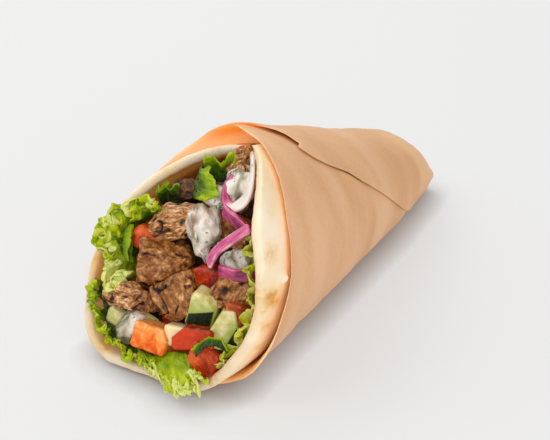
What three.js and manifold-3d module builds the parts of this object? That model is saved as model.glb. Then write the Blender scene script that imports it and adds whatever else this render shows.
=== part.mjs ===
// A beef gyro wrap lying on its side: a flatbread rolled into a cone round a filling,
// with a paper sleeve rolled round the bread. Millimetres, +Z up.
// The cone's mouth faces -Y and its tail points to +Y; it lies on a flat strip of its
// underside, and the origin is on that strip's plane, under the middle of the wrap.
import * as THREE from "three";
import * as BufferGeometryUtils from "three/addons/utils/BufferGeometryUtils.js";
import Module from "manifold-3d";

const wasm = await Module();
wasm.setup();

// ---------------------------------------------------------------- driving dimensions
const CONE = {
  length: 158.5, // between the mouth ring (t = 0) and the tail ring (t = 1)
  mouthY: -79.3,
  mouthHalfWidth: 40.7,
  mouthHalfHeight: 45.7,
  tailHalfWidth: 20,
  tailHalfHeight: 15.3,
  heightPower: 1.086, // the height narrows a little later than the width
  drift: -5.4, // sideways shift of the centre line over the length
  sink: 1.2, // how far the round underside is pressed flat by its weight
};
const SAG = {
  shoulderAngle: 126,
  shoulderSpread: 32,
  shoulderDepth: 0.16,
  bulgeAngle: 214,
  bulgeSpread: 34,
  bulgeDepth: 0.22,
  reach: 0.65, // both die away over this share of the length
};
const TAIL = {
  start: 0.9,
  fold: 1.08, // where the folded-in end closes the sleeve
  end: 1.112,
  pinch: 0.3, // share of the half width lost at the very end
  droop: 0.5, // share of the height lost there, as the end is folded down flat
};
const PAPER = {
  thickness: 0.5,
  startAngle: 112,
  endAngle: -416,
  columnStep: 12, // degrees between the sheet's columns of corners
  startInset: 0.6,
  turnStep: 1, // how much further out the sheet lies after one turn
};
// Where the outer turn's edge stands off the layer under it, near the top of the mouth.
const LIFT = { height: 2.4, angle: 72, spread: 13, reach: 0.07 };
// The top of the sleeve stands up in a soft ridge behind the mouth.
const TENT = { height: 2.2, angle: 92, spread: 13, reach: 0.42 };
const BREAD = {
  thickness: 3.6,
  inset: 1.5,
  tuck: 4.6, // how much deeper the far end lies, where it is tucked under the near one
  startAngle: 76,
  endAngle: -294,
  tailT: 0.88,
};
const LIP = { depth: 3.4, reach: 16 }; // the near side of the bread's rim curls inwards
const FILLING = {
  sides: 20,
  play: 0.3, // space between the filling and the bread, besides the clearance
  back: 17, // how far its front lies behind the mouth
  slope: 0.55, // the front leans back this much per millimetre of height
  lumps: 2.2,
  heartZ: 38, // height of the middle of the front
  tailT: 0.86,
};
const CLEARANCE = 0.42; // between neighbouring pieces
const SIMPLIFY = 0.12; // how far a cut edge may move when its slivers are merged
const MOUTH = { centre: [-3, -67, 38], lean: 20.6, turn: 9 };
const OFFSET = [1.5, -2, 0]; // puts the origin under the middle of the wrap's box

// Front edge of the paper and of the bread: [angle round the cone, y].
// Angle 0 is the near side (+X), 90 the top, 180 the far side, 270 the underside.
const PAPER_EDGE = [
  [-90, -79], [-60, -76], [-30, -79], [-10, -76], [4, -71], [28, -63.6], [48, -54],
  [68, -45], [84, -39.5], [95, -38], [110, -36], [130, -32.5], [147, -36], [165, -46],
  [185, -58], [210, -71], [235, -79], [270, -79],
];
const BREAD_EDGE = [
  [-90, -84.5], [-55, -83.5], [-25, -81], [0, -80.5], [16, -78.5], [30, -74.5], [43, -67],
  [52, -60], [64, -50], [76, -42], [90, -37], [107, -36.5], [129, -36], [145, -39.5],
  [162, -51], [185, -64], [208, -75], [228, -84.5], [250, -85], [270, -84.5],
];
// Edge of the outer turn of paper: [angle, t] from the apex down to the tail.
const FLAP_EDGE = [
  [-56, 1.04], [-13, 0.783], [18, 0.6], [39, 0.455], [50, 0.375], [64, 0.335],
  [93, 0.3], [112, 0.27],
];

const COLOURS = {
  paper: 0xd3a375,
  flatbread: 0xe9d8be,
  beef: 0x8f5f35,
  tomato: 0xc9482c,
  cucumber: 0xa9b763,
  onion: 0xc9609a,
  sauce: 0xeae6dd,
  lettuce: 0x8fae3c,
  filling: 0x5a3a1c,
};

// ---------------------------------------------------------------- small maths helpers
function radians(degrees) {
  return (degrees * Math.PI) / 180;
}

function clamp(value, low, high) {
  return Math.min(high, Math.max(low, value));
}

function smooth(x) {
  const c = clamp(x, 0, 1);
  return c * c * (3 - 2 * c);
}

function bell(x) {
  return Math.exp(-x * x);
}

// Value at x of the smooth curve through [x, value] stations in rising order.
function along(stations, x) {
  const last = stations.length - 1;
  const c = clamp(x, stations[0][0], stations[last][0]);
  let i = 0;
  while (i < last - 1 && stations[i + 1][0] < c) i += 1;
  const at = (k) => stations[clamp(k, 0, last)];
  const slope = (k) => (at(k + 1)[1] - at(k - 1)[1]) / (at(k + 1)[0] - at(k - 1)[0]);
  const width = at(i + 1)[0] - at(i)[0];
  const s = (c - at(i)[0]) / width;
  const h00 = (1 + 2 * s) * (1 - s) * (1 - s);
  const h10 = s * (1 - s) * (1 - s);
  const h01 = s * s * (3 - 2 * s);
  const h11 = s * s * (s - 1);
  return h00 * at(i)[1] + h10 * width * slope(i) + h01 * at(i + 1)[1] + h11 * width * slope(i + 1);
}

// Angle brought into [-90, 270), the range of the edge stations.
function wrapAngle(angle) {
  return ((((angle + 90) % 360) + 360) % 360) - 90;
}

function seeded(seed) {
  let state = seed >>> 0;
  return () => {
    state = (state + 0x6d2b79f5) >>> 0;
    let mixed = Math.imul(state ^ (state >>> 15), 1 | state);
    mixed = (mixed + Math.imul(mixed ^ (mixed >>> 7), 61 | mixed)) ^ mixed;
    return ((mixed ^ (mixed >>> 14)) >>> 0) / 4294967296;
  };
}

// A smooth bumpy field: a few sine waves in seeded directions, about -1 to 1.
function bumpField(seed, size) {
  const random = seeded(seed);
  const waves = [];
  for (let i = 0; i < 6; i += 1) {
    const direction = new THREE.Vector3(random() - 0.5, random() - 0.5, random() - 0.5).normalize();
    waves.push({ direction, rate: (5 + 4 * random()) / size, phase: 6.28 * random() });
  }
  return (point) => {
    let sum = 0;
    for (const wave of waves) sum += Math.sin(point.dot(wave.direction) * wave.rate + wave.phase);
    return sum / 3;
  };
}

// ---------------------------------------------------------------- solids and cuts
function toSolid(geometry) {
  const bare = geometry.clone();
  bare.deleteAttribute("normal");
  bare.deleteAttribute("uv");
  const merged = BufferGeometryUtils.mergeVertices(bare, 1e-5);
  const vertProperties = new Float32Array(merged.getAttribute("position").array);
  const triVerts = new Uint32Array(merged.getIndex().array);
  return new wasm.Manifold(new wasm.Mesh({ numProp: 3, vertProperties, triVerts }));
}

function toGeometry(solid) {
  const mesh = solid.getMesh();
  const geometry = new THREE.BufferGeometry();
  geometry.setAttribute("position", new THREE.BufferAttribute(mesh.vertProperties, 3));
  geometry.setIndex(new THREE.BufferAttribute(mesh.triVerts, 1));
  return geometry;
}

function boxesMeet(one, other) {
  const a = one.boundingBox();
  const b = other.boundingBox();
  return [0, 1, 2].every((axis) => a.min[axis] < b.max[axis] && b.min[axis] < a.max[axis]);
}

// The largest of the bodies that a cut leaves.
function largest(solid) {
  const bodies = solid.decompose();
  bodies.sort((a, b) => b.volume() - a.volume());
  return bodies[0];
}

// A sheet with thickness: point(i, j, side) gives the outer face (side 1) and the inner
// face (side -1) over a grid, both split into triangles along the same diagonals.
function sheet(columns, rows, point) {
  const positions = [];
  const index = [];
  const id = (i, j, side) => (side < 0 ? columns * rows : 0) + i * rows + j;
  for (const side of [1, -1]) {
    for (let i = 0; i < columns; i += 1) {
      for (let j = 0; j < rows; j += 1) positions.push(...point(i, j, side).toArray());
    }
  }
  const quad = (a, b, c, d) => index.push(a, b, c, a, c, d);
  for (let i = 0; i + 1 < columns; i += 1) {
    for (let j = 0; j + 1 < rows; j += 1) {
      const corners = [[i, j], [i + 1, j], [i + 1, j + 1], [i, j + 1]];
      const [a, b, c, d] = corners.map(([x, y]) => id(x, y, 1));
      const [e, f, g, h] = corners.map(([x, y]) => id(x, y, -1));
      quad(a, b, c, d);
      index.push(e, g, f, e, h, g);
    }
    quad(id(i + 1, 0, 1), id(i, 0, 1), id(i, 0, -1), id(i + 1, 0, -1));
    const end = rows - 1;
    quad(id(i, end, 1), id(i + 1, end, 1), id(i + 1, end, -1), id(i, end, -1));
  }
  for (let j = 0; j + 1 < rows; j += 1) {
    quad(id(0, j, 1), id(0, j + 1, 1), id(0, j + 1, -1), id(0, j, -1));
    const end = columns - 1;
    quad(id(end, j + 1, 1), id(end, j, 1), id(end, j, -1), id(end, j + 1, -1));
  }
  return closedGeometry(positions, index);
}

// A solid through closed rings of points, with a fan on the first and last ring.
function loft(rings) {
  const count = rings[0].length;
  const positions = [];
  const index = [];
  for (const ring of rings) {
    for (const corner of ring) positions.push(...corner.toArray());
  }
  for (let i = 0; i + 1 < rings.length; i += 1) {
    for (let k = 0; k < count; k += 1) {
      const a = i * count + k;
      const b = i * count + ((k + 1) % count);
      index.push(a, b, b + count, a, b + count, a + count);
    }
  }
  for (const [ring, flip] of [[0, true], [rings.length - 1, false]]) {
    const middle = new THREE.Vector3();
    for (const corner of rings[ring]) middle.addScaledVector(corner, 1 / count);
    const hub = positions.length / 3;
    positions.push(...middle.toArray());
    for (let k = 0; k < count; k += 1) {
      const a = ring * count + k;
      const b = ring * count + ((k + 1) % count);
      index.push(...(flip ? [hub, b, a] : [hub, a, b]));
    }
  }
  return closedGeometry(positions, index);
}

// Makes the geometry and turns its faces outwards if they came out inside out.
function closedGeometry(positions, index) {
  let volume = 0;
  const corner = (k) => new THREE.Vector3().fromArray(positions, 3 * k);
  for (let i = 0; i < index.length; i += 3) {
    volume += corner(index[i]).dot(corner(index[i + 1]).cross(corner(index[i + 2])));
  }
  if (volume < 0) {
    for (let i = 0; i < index.length; i += 3) [index[i], index[i + 1]] = [index[i + 1], index[i]];
  }
  const geometry = new THREE.BufferGeometry();
  geometry.setAttribute("position", new THREE.Float32BufferAttribute(positions, 3));
  geometry.setIndex(index);
  return geometry;
}

// ---------------------------------------------------------------- the cone
function yOf(t) {
  return CONE.mouthY + CONE.length * t;
}

function tOf(y) {
  return (y - CONE.mouthY) / CONE.length;
}

// A point of the cone's surface at t along it and an angle round it, moved in by inset,
// and no lower than floor. The section is an ellipse whose far upper shoulder has sagged
// in and whose far lower side bulges out; past TAIL.start it is folded down flat.
function conePoint(t, angle, inset, floor) {
  const grown = t < 0 ? t : Math.pow(t, CONE.heightPower);
  const halfWidth = THREE.MathUtils.lerp(CONE.mouthHalfWidth, CONE.tailHalfWidth, t);
  const halfHeight = THREE.MathUtils.lerp(CONE.mouthHalfHeight, CONE.tailHalfHeight, grown);
  const pinch = clamp((t - TAIL.start) / (TAIL.end - TAIL.start), 0, 1);
  const narrow = 1 - TAIL.pinch * pinch * pinch;
  const low = 1 - TAIL.droop * Math.pow(pinch, 2.5);
  const fade = Math.pow(clamp(1 - t / SAG.reach, 0, 1), 2);
  const round = wrapAngle(angle);
  const shoulder = SAG.shoulderDepth * bell((round - SAG.shoulderAngle) / SAG.shoulderSpread);
  const bulge = SAG.bulgeDepth * bell((round - SAG.bulgeAngle) / SAG.bulgeSpread);
  const sag = 1 + Math.min(fade, 1) * (bulge - shoulder);
  const x = CONE.drift * t + (halfWidth * narrow * sag - inset) * Math.cos(radians(angle));
  const z = halfHeight * low + (halfHeight * low * sag - inset) * Math.sin(radians(angle));
  return new THREE.Vector3(x, yOf(t), Math.max(z - CONE.sink, floor));
}

// ---------------------------------------------------------------- paper sleeve
// The sheet starts hidden near the top, goes down the near side, under, up the far side
// and over the top again, where its edge runs diagonally from the apex to the tail.
function paperInset(turned) {
  return PAPER.startInset - ((PAPER.startAngle - turned) / 360) * PAPER.turnStep;
}

// Front edge of the sheet: the sleeve's rim, and past the top the outer turn's own edge.
function paperFront(turned) {
  const rim = tOf(along(PAPER_EDGE, wrapAngle(turned)));
  const overTop = turned + 360;
  const flap = along(FLAP_EDGE, overTop);
  const share = smooth((97 - overTop) / 6);
  return THREE.MathUtils.lerp(rim, flap, share);
}

function paperPoint(turned, t, side) {
  const overTop = turned + 360;
  const nearEdge = bell((t - paperFront(turned)) / LIFT.reach) * smooth((110 - overTop) / 20);
  const lifted = LIFT.height * bell((overTop - LIFT.angle) / LIFT.spread) * nearEdge;
  const ridge = Math.pow(clamp(1 - t / TENT.reach, 0, 1), 0.8);
  const tent = TENT.height * bell((wrapAngle(turned) - TENT.angle) / TENT.spread) * ridge;
  const depth = side > 0 ? 0 : PAPER.thickness;
  return conePoint(t, turned, paperInset(turned) - lifted - tent + depth, depth);
}

function paperSleeve() {
  const columns = 1 + (PAPER.startAngle - PAPER.endAngle) / PAPER.columnStep;
  const rows = 8;
  const point = (i, j, side) => {
    const turned = PAPER.startAngle - i * PAPER.columnStep;
    const share = Math.pow(j / (rows - 2), 0.9);
    const t = j === rows - 1 ? TAIL.end : THREE.MathUtils.lerp(paperFront(turned), TAIL.fold, share);
    return paperPoint(turned, t, side);
  };
  return toSolid(sheet(columns, rows, point)).add(toSolid(paperTuck()));
}

// The folded-in end of the sheet that closes the flat tail.
function paperTuck() {
  const rings = [];
  for (const share of [0.15, 0.8]) {
    const t = THREE.MathUtils.lerp(TAIL.fold, TAIL.end, share);
    const ring = [];
    for (let k = 0; k < 360 / PAPER.columnStep; k += 1) {
      const angle = PAPER.startAngle - k * PAPER.columnStep;
      const middle = PAPER.thickness / 2;
      ring.push(conePoint(t, angle, paperInset(angle) + middle, middle));
    }
    rings.push(ring);
  }
  return loft(rings);
}

// ---------------------------------------------------------------- flatbread
// One round bread rolled once round the filling. Its outer end lies under the paper on
// the near side of the top; the far side comes over and tucks in under it.
function breadInset(turned) {
  const tucked = smooth((-198 - turned) / 84);
  return BREAD.inset + BREAD.tuck * tucked;
}

function breadFront(turned) {
  return tOf(along(BREAD_EDGE, wrapAngle(turned)));
}

function breadLip(turned, y) {
  const near = smooth((turned + 75) / 40) * smooth((52 - turned) / 26);
  const edge = yOf(breadFront(turned));
  const share = clamp(1 - (y - edge) / LIP.reach, 0, 1);
  return LIP.depth * near * share * share;
}

// grow widens the bread on every side, for cutting its neighbours clear of it.
function flatbread(grow) {
  const columns = 38;
  const rows = 9;
  const lead = [0, 0.5, 1.8]; // the first rows lie close behind the rim, to round it
  const rounding = [0.3, 0.8, 1];
  const past = (360 * grow) / (2 * Math.PI * CONE.tailHalfWidth);
  const back = BREAD.tailT + grow / CONE.length;
  const point = (i, j, side) => {
    const roundShare = i / (columns - 1);
    const turned = THREE.MathUtils.lerp(BREAD.startAngle + past, BREAD.endAngle - past, roundShare);
    const front = breadFront(turned) - grow / CONE.length;
    const near = front + lead[Math.min(j, 2)] / CONE.length;
    const share = Math.pow(clamp((j - 2) / (rows - 3), 0, 1), 1.15);
    const t = THREE.MathUtils.lerp(near, back, share);
    const half = (BREAD.thickness / 2) * (rounding[j] ?? 1) + grow;
    const middle = breadInset(turned) + BREAD.thickness / 2 + breadLip(turned, yOf(t));
    const floor = BREAD.inset + BREAD.thickness / 2 - side * half;
    return conePoint(t, turned, middle - side * half, floor);
  };
  return toSolid(sheet(columns, rows, point));
}

// ---------------------------------------------------------------- pieces of the filling
// A cut piece: a box with rounded edges, tapered and roughened by a bumpy field.
function chunk({ size, round, rough, taper = 0, seed, cuts }, grow) {
  const box = new THREE.BoxGeometry(2, 2, 2, cuts, cuts, cuts);
  const half = new THREE.Vector3(...size).multiplyScalar(0.5);
  const field = bumpField(seed, Math.min(...size) * 2.2);
  const place = box.getAttribute("position");
  const p = new THREE.Vector3();
  for (let i = 0; i < place.count; i += 1) {
    p.fromBufferAttribute(place, i).multiply(half);
    const radius = Math.min(round, half.x, half.y, half.z);
    const core = half.clone().subScalar(radius);
    const inner = p.clone().clamp(core.clone().negate(), core);
    const out = p.clone().sub(inner).normalize();
    p.copy(inner).addScaledVector(out, radius + rough * field(p));
    p.x *= 1 + (taper * p.z) / size[2];
    p.y *= 1 - (taper * 0.6 * p.x) / size[0];
    p.addScaledVector(out, grow);
    place.setXYZ(i, p.x, p.y, p.z);
  }
  return box;
}

// A spoonful of thick sauce: a ball stretched and swollen by a bumpy field.
function blob({ size, seed }, grow) {
  const ball = new THREE.IcosahedronGeometry(1, 2);
  const field = bumpField(seed, 3.2);
  const place = ball.getAttribute("position");
  const p = new THREE.Vector3();
  for (let i = 0; i < place.count; i += 1) {
    p.fromBufferAttribute(place, i).normalize();
    const swell = 1 + 0.18 * field(p);
    p.set(
      p.x * ((size[0] / 2) * swell + grow),
      p.y * ((size[1] / 2) * swell + grow),
      p.z * ((size[2] / 2) * swell + grow),
    );
    place.setXYZ(i, p.x, p.y, p.z);
  }
  return ball;
}

// A slice of red onion: a strip swept along a curve, its flat tilted round the curve.
function strip({ path, width, thickness, tilt, steps }, grow) {
  const curve = new THREE.CatmullRomCurve3(path.map((place) => new THREE.Vector3(...place)));
  const rings = [];
  for (let i = 0; i <= steps; i += 1) {
    const s = i / steps;
    const middle = curve.getPoint(s);
    const ahead = curve.getTangent(s);
    const flat = new THREE.Vector3(0, 0, 1).cross(ahead).normalize();
    flat.applyAxisAngle(ahead, radians(tilt));
    const deep = ahead.clone().cross(flat);
    const ends = s === 0 || s === 1 ? 0.8 : 1;
    const stretch = s === 0 ? -grow : s === 1 ? grow : 0;
    const ring = [];
    for (let k = 0; k < 8; k += 1) {
      const around = radians(45 * k + 22.5);
      const across = Math.sign(Math.cos(around)) * Math.pow(Math.abs(Math.cos(around)), 0.6);
      const through = Math.sign(Math.sin(around)) * Math.pow(Math.abs(Math.sin(around)), 0.6);
      const corner = middle.clone().addScaledVector(ahead, stretch);
      corner.addScaledVector(flat, across * ((width / 2) * ends + grow));
      corner.addScaledVector(deep, through * ((thickness / 2) * ends + grow));
      ring.push(corner);
    }
    rings.push(ring);
  }
  return loft(rings);
}

// A lettuce leaf: a thin wavy sheet between its root line and its frilled edge.
// The waves grow towards the edge, and the edge itself is scalloped.
function leaf({ root, edge, frill, waves, bow, phase, steps }, grow) {
  const rootCurve = new THREE.CatmullRomCurve3(root.map((place) => new THREE.Vector3(...place)));
  const edgeCurve = new THREE.CatmullRomCurve3(edge.map((place) => new THREE.Vector3(...place)));
  const rows = 4;
  const thickness = 0.9;
  const middle = (s, r) => {
    const base = rootCurve.getPoint(s);
    const rim = edgeCurve.getPoint(s);
    const across = rim.clone().sub(base);
    const ahead = edgeCurve.getTangent(s);
    const out = across.clone().cross(ahead).normalize();
    const scallop = 1 + 0.07 * Math.sin(2 * Math.PI * waves * 1.7 * s + phase * 2);
    const wave = Math.sin(2 * Math.PI * waves * s + phase) + 0.3 * Math.sin(5.1 * waves * s + phase);
    const point = base.addScaledVector(across, r * (1 + (scallop - 1) * r));
    return point.addScaledVector(out, bow * Math.sin(Math.PI * r) + frill * wave * r * r);
  };
  const point = (i, j, side) => {
    const s = i / (steps - 1);
    const r = j / (rows - 1);
    const step = 0.02;
    const alongS = middle(Math.min(1, s + step), r).sub(middle(Math.max(0, s - step), r));
    const alongR = middle(s, Math.min(1, r + step)).sub(middle(s, Math.max(0, r - step)));
    const normal = alongR.clone().cross(alongS).normalize();
    const place = middle(s, r).addScaledVector(normal, side * (thickness / 2 + grow));
    const spreadS = i === 0 ? -grow : i === steps - 1 ? grow : 0;
    const spreadR = j === 0 ? -grow : j === rows - 1 ? grow : 0;
    place.addScaledVector(alongS.normalize(), spreadS);
    return place.addScaledVector(alongR.normalize(), spreadR);
  };
  return sheet(steps, rows, point);
}

// The packed filling behind the pieces that show: chopped meat and salad out to the
// bread, running through the wrap, with a lumpy front behind the mouth.
function packedFilling() {
  const field = bumpField(77, 22);
  const wall = BREAD.thickness + CLEARANCE + FILLING.play;
  const floor = BREAD.inset + wall;
  const inset = (angle) => breadInset(angle) + wall;
  // t of the front at a share of the way from its middle out to the bread; the front
  // follows the mouth's turn as well as its lean.
  const frontAt = (angle, share) => {
    const probe = conePoint(0.12, angle, inset(angle) + 2, 6);
    const rise = FILLING.slope * (probe.z - MOUTH.centre[2]);
    const turned = Math.tan(radians(MOUTH.turn)) * (probe.x - MOUTH.centre[0]);
    const y = MOUTH.centre[1] + FILLING.back + (rise - turned) * share;
    return tOf(y + FILLING.lumps * field(probe.multiplyScalar(share)));
  };
  const ring = (place) => {
    const corners = [];
    const step = 360 / FILLING.sides;
    for (let k = 0; k < FILLING.sides; k += 1) corners.push(place(BREAD.endAngle + step * k));
    return corners;
  };
  const rings = [];
  for (const share of [0.3, 0.7]) {
    rings.push(ring((angle) => {
      const rim = conePoint(frontAt(angle, share), angle, inset(angle), 6);
      const z = THREE.MathUtils.lerp(FILLING.heartZ, rim.z, share);
      return new THREE.Vector3(rim.x * share, rim.y, z);
    }));
  }
  for (const share of [0, 0.3, 0.65, 1]) {
    rings.push(ring((angle) => {
      const t = THREE.MathUtils.lerp(frontAt(angle, 1), FILLING.tailT, share);
      const hollow = 0.7 + 0.7 * field(conePoint(t, angle, 0, 0));
      return conePoint(t, angle, inset(angle) + Math.max(hollow, 0), floor);
    }));
  }
  return loft(rings);
}

// ---------------------------------------------------------------- what goes where
// Places are in the mouth's own frame: across (near side +), up the mouth, outwards.
const BEEF = [
  { size: [18, 10.5, 14], at: [-13.5, 9.5, -6], turn: [10, 20, 20], round: 3, taper: 0.4 },
  { size: [20, 14.5, 17], at: [-12.5, -3, -2], turn: [0, 25, 4], round: 5.5, taper: 0.1 },
  { size: [18, 11, 14], at: [-20, -19, 1], turn: [0, 10, -6], round: 4, taper: -0.15 },
  { size: [13, 13, 14], at: [-2.5, -12, -2.5], turn: [5, 20, 40], round: 2.5, taper: 0.1 },
  { size: [14, 12, 12], at: [14, -6, -9], turn: [8, 30, 12], round: 3, taper: 0.2 },
  { size: [12, 13, 12], at: [1, 36, -15], turn: [20, 10, 30], round: 3.5, taper: -0.1 },
  { size: [13, 11, 12], at: [6.5, 14, -14], turn: [0, 15, -20], round: 3, taper: 0.15 },
  { size: [10, 9, 10], at: [-13.5, -20.5, -9], turn: [10, 0, 20], round: 2.5, taper: 0 },
  { size: [9, 9, 10], at: [-20.5, 18, -16], turn: [0, 20, 10], round: 2.5, taper: 0 },
];
const TOMATO = [
  { size: [10, 8.5, 9], at: [-23.5, -0.5, -3.5], turn: [0, 30, -10], round: 4 },
  { size: [12, 9, 9], at: [3, -4.5, -8.5], turn: [0, 10, 8], round: 2.5 },
  { size: [13.5, 9, 11], at: [-5, -28, 2], turn: [-6, 18, 2], round: 1.6 },
  { size: [15, 7.5, 9], at: [11.2, -21.6, -0.5], turn: [4, 12, 14], round: 1.4, taper: 0.4 },
  { size: [10.5, 10.5, 9], at: [18.3, -27, -0.5], turn: [0, 20, -24], round: 1.8 },
  { size: [7, 9.5, 9], at: [21.5, -11.3, -7], turn: [0, 10, 6], round: 1.4 },
  { size: [9, 6, 8], at: [-4, -23, -7.5], turn: [0, 0, 4], round: 1.5 },
];
const CUCUMBER = [
  { size: [9.5, 12.5, 11], at: [8.5, -12.2, -4], turn: [14, 24, -10], round: 1.2 },
  { size: [10, 13, 9], at: [19, -16, -3.5], turn: [0, 30, 24], round: 1.4, taper: 0.4 },
  { size: [11, 6.5, 9], at: [-13.2, -25, -4.5], turn: [0, 16, -12], round: 1.6 },
  { size: [7, 6, 7], at: [2.6, -24.2, -0.3], turn: [0, 16, 10], round: 1.2 },
  { size: [8.5, 6.5, 7], at: [-23.5, -27.5, -0.5], turn: [0, 14, -8], round: 1.8 },
];
const ONION = [
  {
    path: [
      [7, 39.5, -12], [10.5, 32, -10], [11, 25.5, -9], [7.5, 21.8, -7.5], [3, 24, -8],
      [0.5, 29, -11],
    ],
    width: 4.2, thickness: 1.8, tilt: 70, steps: 14,
  },
  {
    path: [[5.5, 20, -5.5], [12, 18, -5.5], [18.5, 15.5, -6.5]],
    width: 4.8, thickness: 2, tilt: 25, steps: 8,
  },
  {
    path: [[20, 18.5, -3.5], [14, 12, -2], [10, 7, -1.5], [7.5, 1.5, -2.5]],
    width: 3.8, thickness: 2, tilt: 20, steps: 10,
  },
  {
    path: [[10.5, 1, -3.5], [18, 1.7, -3.5], [24, 4.2, -6]],
    width: 4.2, thickness: 1.8, tilt: 15, steps: 8,
  },
];
const SAUCE = [
  { size: [15, 22, 13], at: [-1.5, 11, -7], turn: [0, 10, -16], seed: 5 },
  { size: [12, 16, 9], at: [4, 27, -13], turn: [0, 10, 0], seed: 9 },
  { size: [12, 9, 9], at: [14, 4.5, -9], turn: [0, 10, 10], seed: 14 },
  { size: [11, 11, 9], at: [-16.5, -28, 1], turn: [0, 10, 20], seed: 22 },
  { size: [9, 9, 8], at: [-5, 21.5, -12.5], turn: [0, 0, 0], seed: 31 },
];
const LETTUCE = [
  {
    edge: [
      [-20, 17, -1], [-30, 11.5, 4], [-34.5, 5.5, 7], [-33.5, -3, 9], [-29, -9.5, 10],
      [-24, -16.5, 9],
    ],
    root: [[-22, 9, -8], [-30, 2.5, -8], [-29, -4.5, -8], [-25, -9.5, -7], [-22, -14, -5]],
    frill: 2.4, waves: 7, bow: 2, phase: 0.4, steps: 30,
  },
  {
    edge: [
      [-31.5, -19, 8], [-31, -24, 8], [-26, -29.5, 8], [-17, -33, 9], [-7.5, -35.5, 9],
      [1.5, -33.5, 8],
    ],
    root: [[-28, -20.5, 0], [-28.5, -25, 0], [-22.5, -30.5, 0], [-13, -34, 1], [-2, -31.5, 2]],
    frill: 1.5, waves: 6, bow: -1, phase: 1.2, steps: 25,
  },
  {
    edge: [[-4.5, -36, 6], [6, -37, 8], [17, -37, 10], [23.5, -33, 9], [23.5, -29, 7]],
    root: [[-9, -33.5, 3], [-2, -32.8, 2.5], [5, -29, 2.5], [12, -27.5, 2.5], [17, -31, 5]],
    frill: 1.5, waves: 3.5, bow: 1.5, phase: 2, steps: 19,
  },
  {
    edge: [
      [19.5, 15, -6], [24, 7.5, -5], [27, -3, -4], [28, -12, -3], [27.5, -19.5, -1],
      [22, -29, 1.5],
    ],
    root: [
      [15, 11.5, -9], [19, 4, -9], [22, -5.5, -8], [23, -14, -7], [22, -21, -5],
      [17, -30, -2],
    ],
    frill: 1.2, waves: 6, bow: 1, phase: 0, steps: 19,
  },
  {
    edge: [[-13, 28.5, -8], [-9.5, 33, -8], [-5, 34.5, -9], [-1, 37.5, -9]],
    root: [[-14.5, 20, -13], [-11, 19, -13.5], [-7.5, 20.5, -14], [-4, 24, -14]],
    frill: 1, waves: 2, bow: 1.6, phase: 0.8, steps: 13,
  },
  {
    edge: [[-26, 16, -5], [-22.5, 20, -6.5], [-18.5, 22, -9]],
    root: [[-25, 10, -12], [-22, 12, -12], [-18, 13, -13]],
    frill: 1.4, waves: 3, bow: 1, phase: 0.3, steps: 12,
  },
  {
    edge: [[19, -22, 9], [21.5, -17.5, 9.5], [25, -15.5, 8.5], [28.5, -17, 6]],
    root: [[18.5, -24.5, 5.5], [21.5, -21.5, 5.5], [24.5, -20, 4.5], [27, -20, 3.5]],
    frill: 0.7, waves: 2, bow: 0.6, phase: 0.5, steps: 10,
  },
];

// From the mouth's frame to the wrap's.
function mouthMatrix() {
  const lean = radians(MOUTH.lean);
  const turn = radians(MOUTH.turn);
  const across = new THREE.Vector3(Math.cos(turn), -Math.sin(turn), 0);
  const out = new THREE.Vector3(
    -Math.sin(turn) * Math.cos(lean),
    -Math.cos(turn) * Math.cos(lean),
    Math.sin(lean),
  );
  const up = out.clone().cross(across);
  return new THREE.Matrix4().makeBasis(across, up, out).setPosition(...MOUTH.centre);
}

function placed(geometry, at, turn) {
  const euler = new THREE.Euler(...turn.map(radians));
  const local = new THREE.Matrix4().makeRotationFromEuler(euler).setPosition(...at);
  return geometry.applyMatrix4(mouthMatrix().multiply(local));
}

// ---------------------------------------------------------------- putting it together
const wrap = new THREE.Group();
wrap.position.set(...OFFSET);

function addNode(name, solid, colour, roughness) {
  const material = new THREE.MeshStandardMaterial({ color: colour, roughness, metalness: 0 });
  const mesh = new THREE.Mesh(toGeometry(solid), material);
  mesh.name = name;
  wrap.add(mesh);
}

// Everything placed so far, grown by the clearance: what the next piece is cut by.
const taken = [];

// Cuts a piece clear of what is already there and keeps its largest part.
function addFitted(name, build, colour, roughness) {
  let solid = toSolid(build(0));
  for (const other of taken.filter((one) => boxesMeet(one, solid))) solid = solid.subtract(other);
  solid = largest(solid.simplify(SIMPLIFY));
  addNode(name, solid, colour, roughness);
  taken.push(toSolid(build(CLEARANCE)), solid);
}

addNode("paper", paperSleeve(), COLOURS.paper, 0.8);
addNode("flatbread", flatbread(0), COLOURS.flatbread, 0.85);
taken.push(flatbread(CLEARANCE), flatbread(0));

// The cut pieces: rough is the depth of their bumps, cuts their division along an edge.
const KINDS = [
  { name: "tomato", list: TOMATO, rough: 0.25, cuts: 3, colour: COLOURS.tomato, sheen: 0.35 },
  { name: "cucumber", list: CUCUMBER, rough: 0.25, cuts: 3, colour: COLOURS.cucumber, sheen: 0.4 },
  { name: "beef", list: BEEF, rough: 0.9, cuts: 4, colour: COLOURS.beef, sheen: 0.7 },
];
for (const { name, list, rough, cuts, colour, sheen } of KINDS) {
  list.forEach((piece, k) => {
    const shape = { ...piece, rough, cuts, seed: 11 * (k + 1) + name.length };
    const build = (grow) => placed(chunk(shape, grow), piece.at, piece.turn);
    addFitted(`${name}_${k + 1}`, build, colour, sheen);
  });
}
ONION.forEach((piece, k) => {
  const build = (grow) => placed(strip(piece, grow), [0, 0, 0], [0, 0, 0]);
  addFitted(`onion_${k + 1}`, build, COLOURS.onion, 0.35);
});
LETTUCE.forEach((piece, k) => {
  const build = (grow) => placed(leaf(piece, grow), [0, 0, 0], [0, 0, 0]);
  addFitted(`lettuce_${k + 1}`, build, COLOURS.lettuce, 0.5);
});
SAUCE.forEach((piece, k) => {
  const build = (grow) => placed(blob(piece, grow), piece.at, piece.turn);
  addFitted(`sauce_${k + 1}`, build, COLOURS.sauce, 0.4);
});
addFitted("filling", () => packedFilling(), COLOURS.filling, 0.8);

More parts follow.
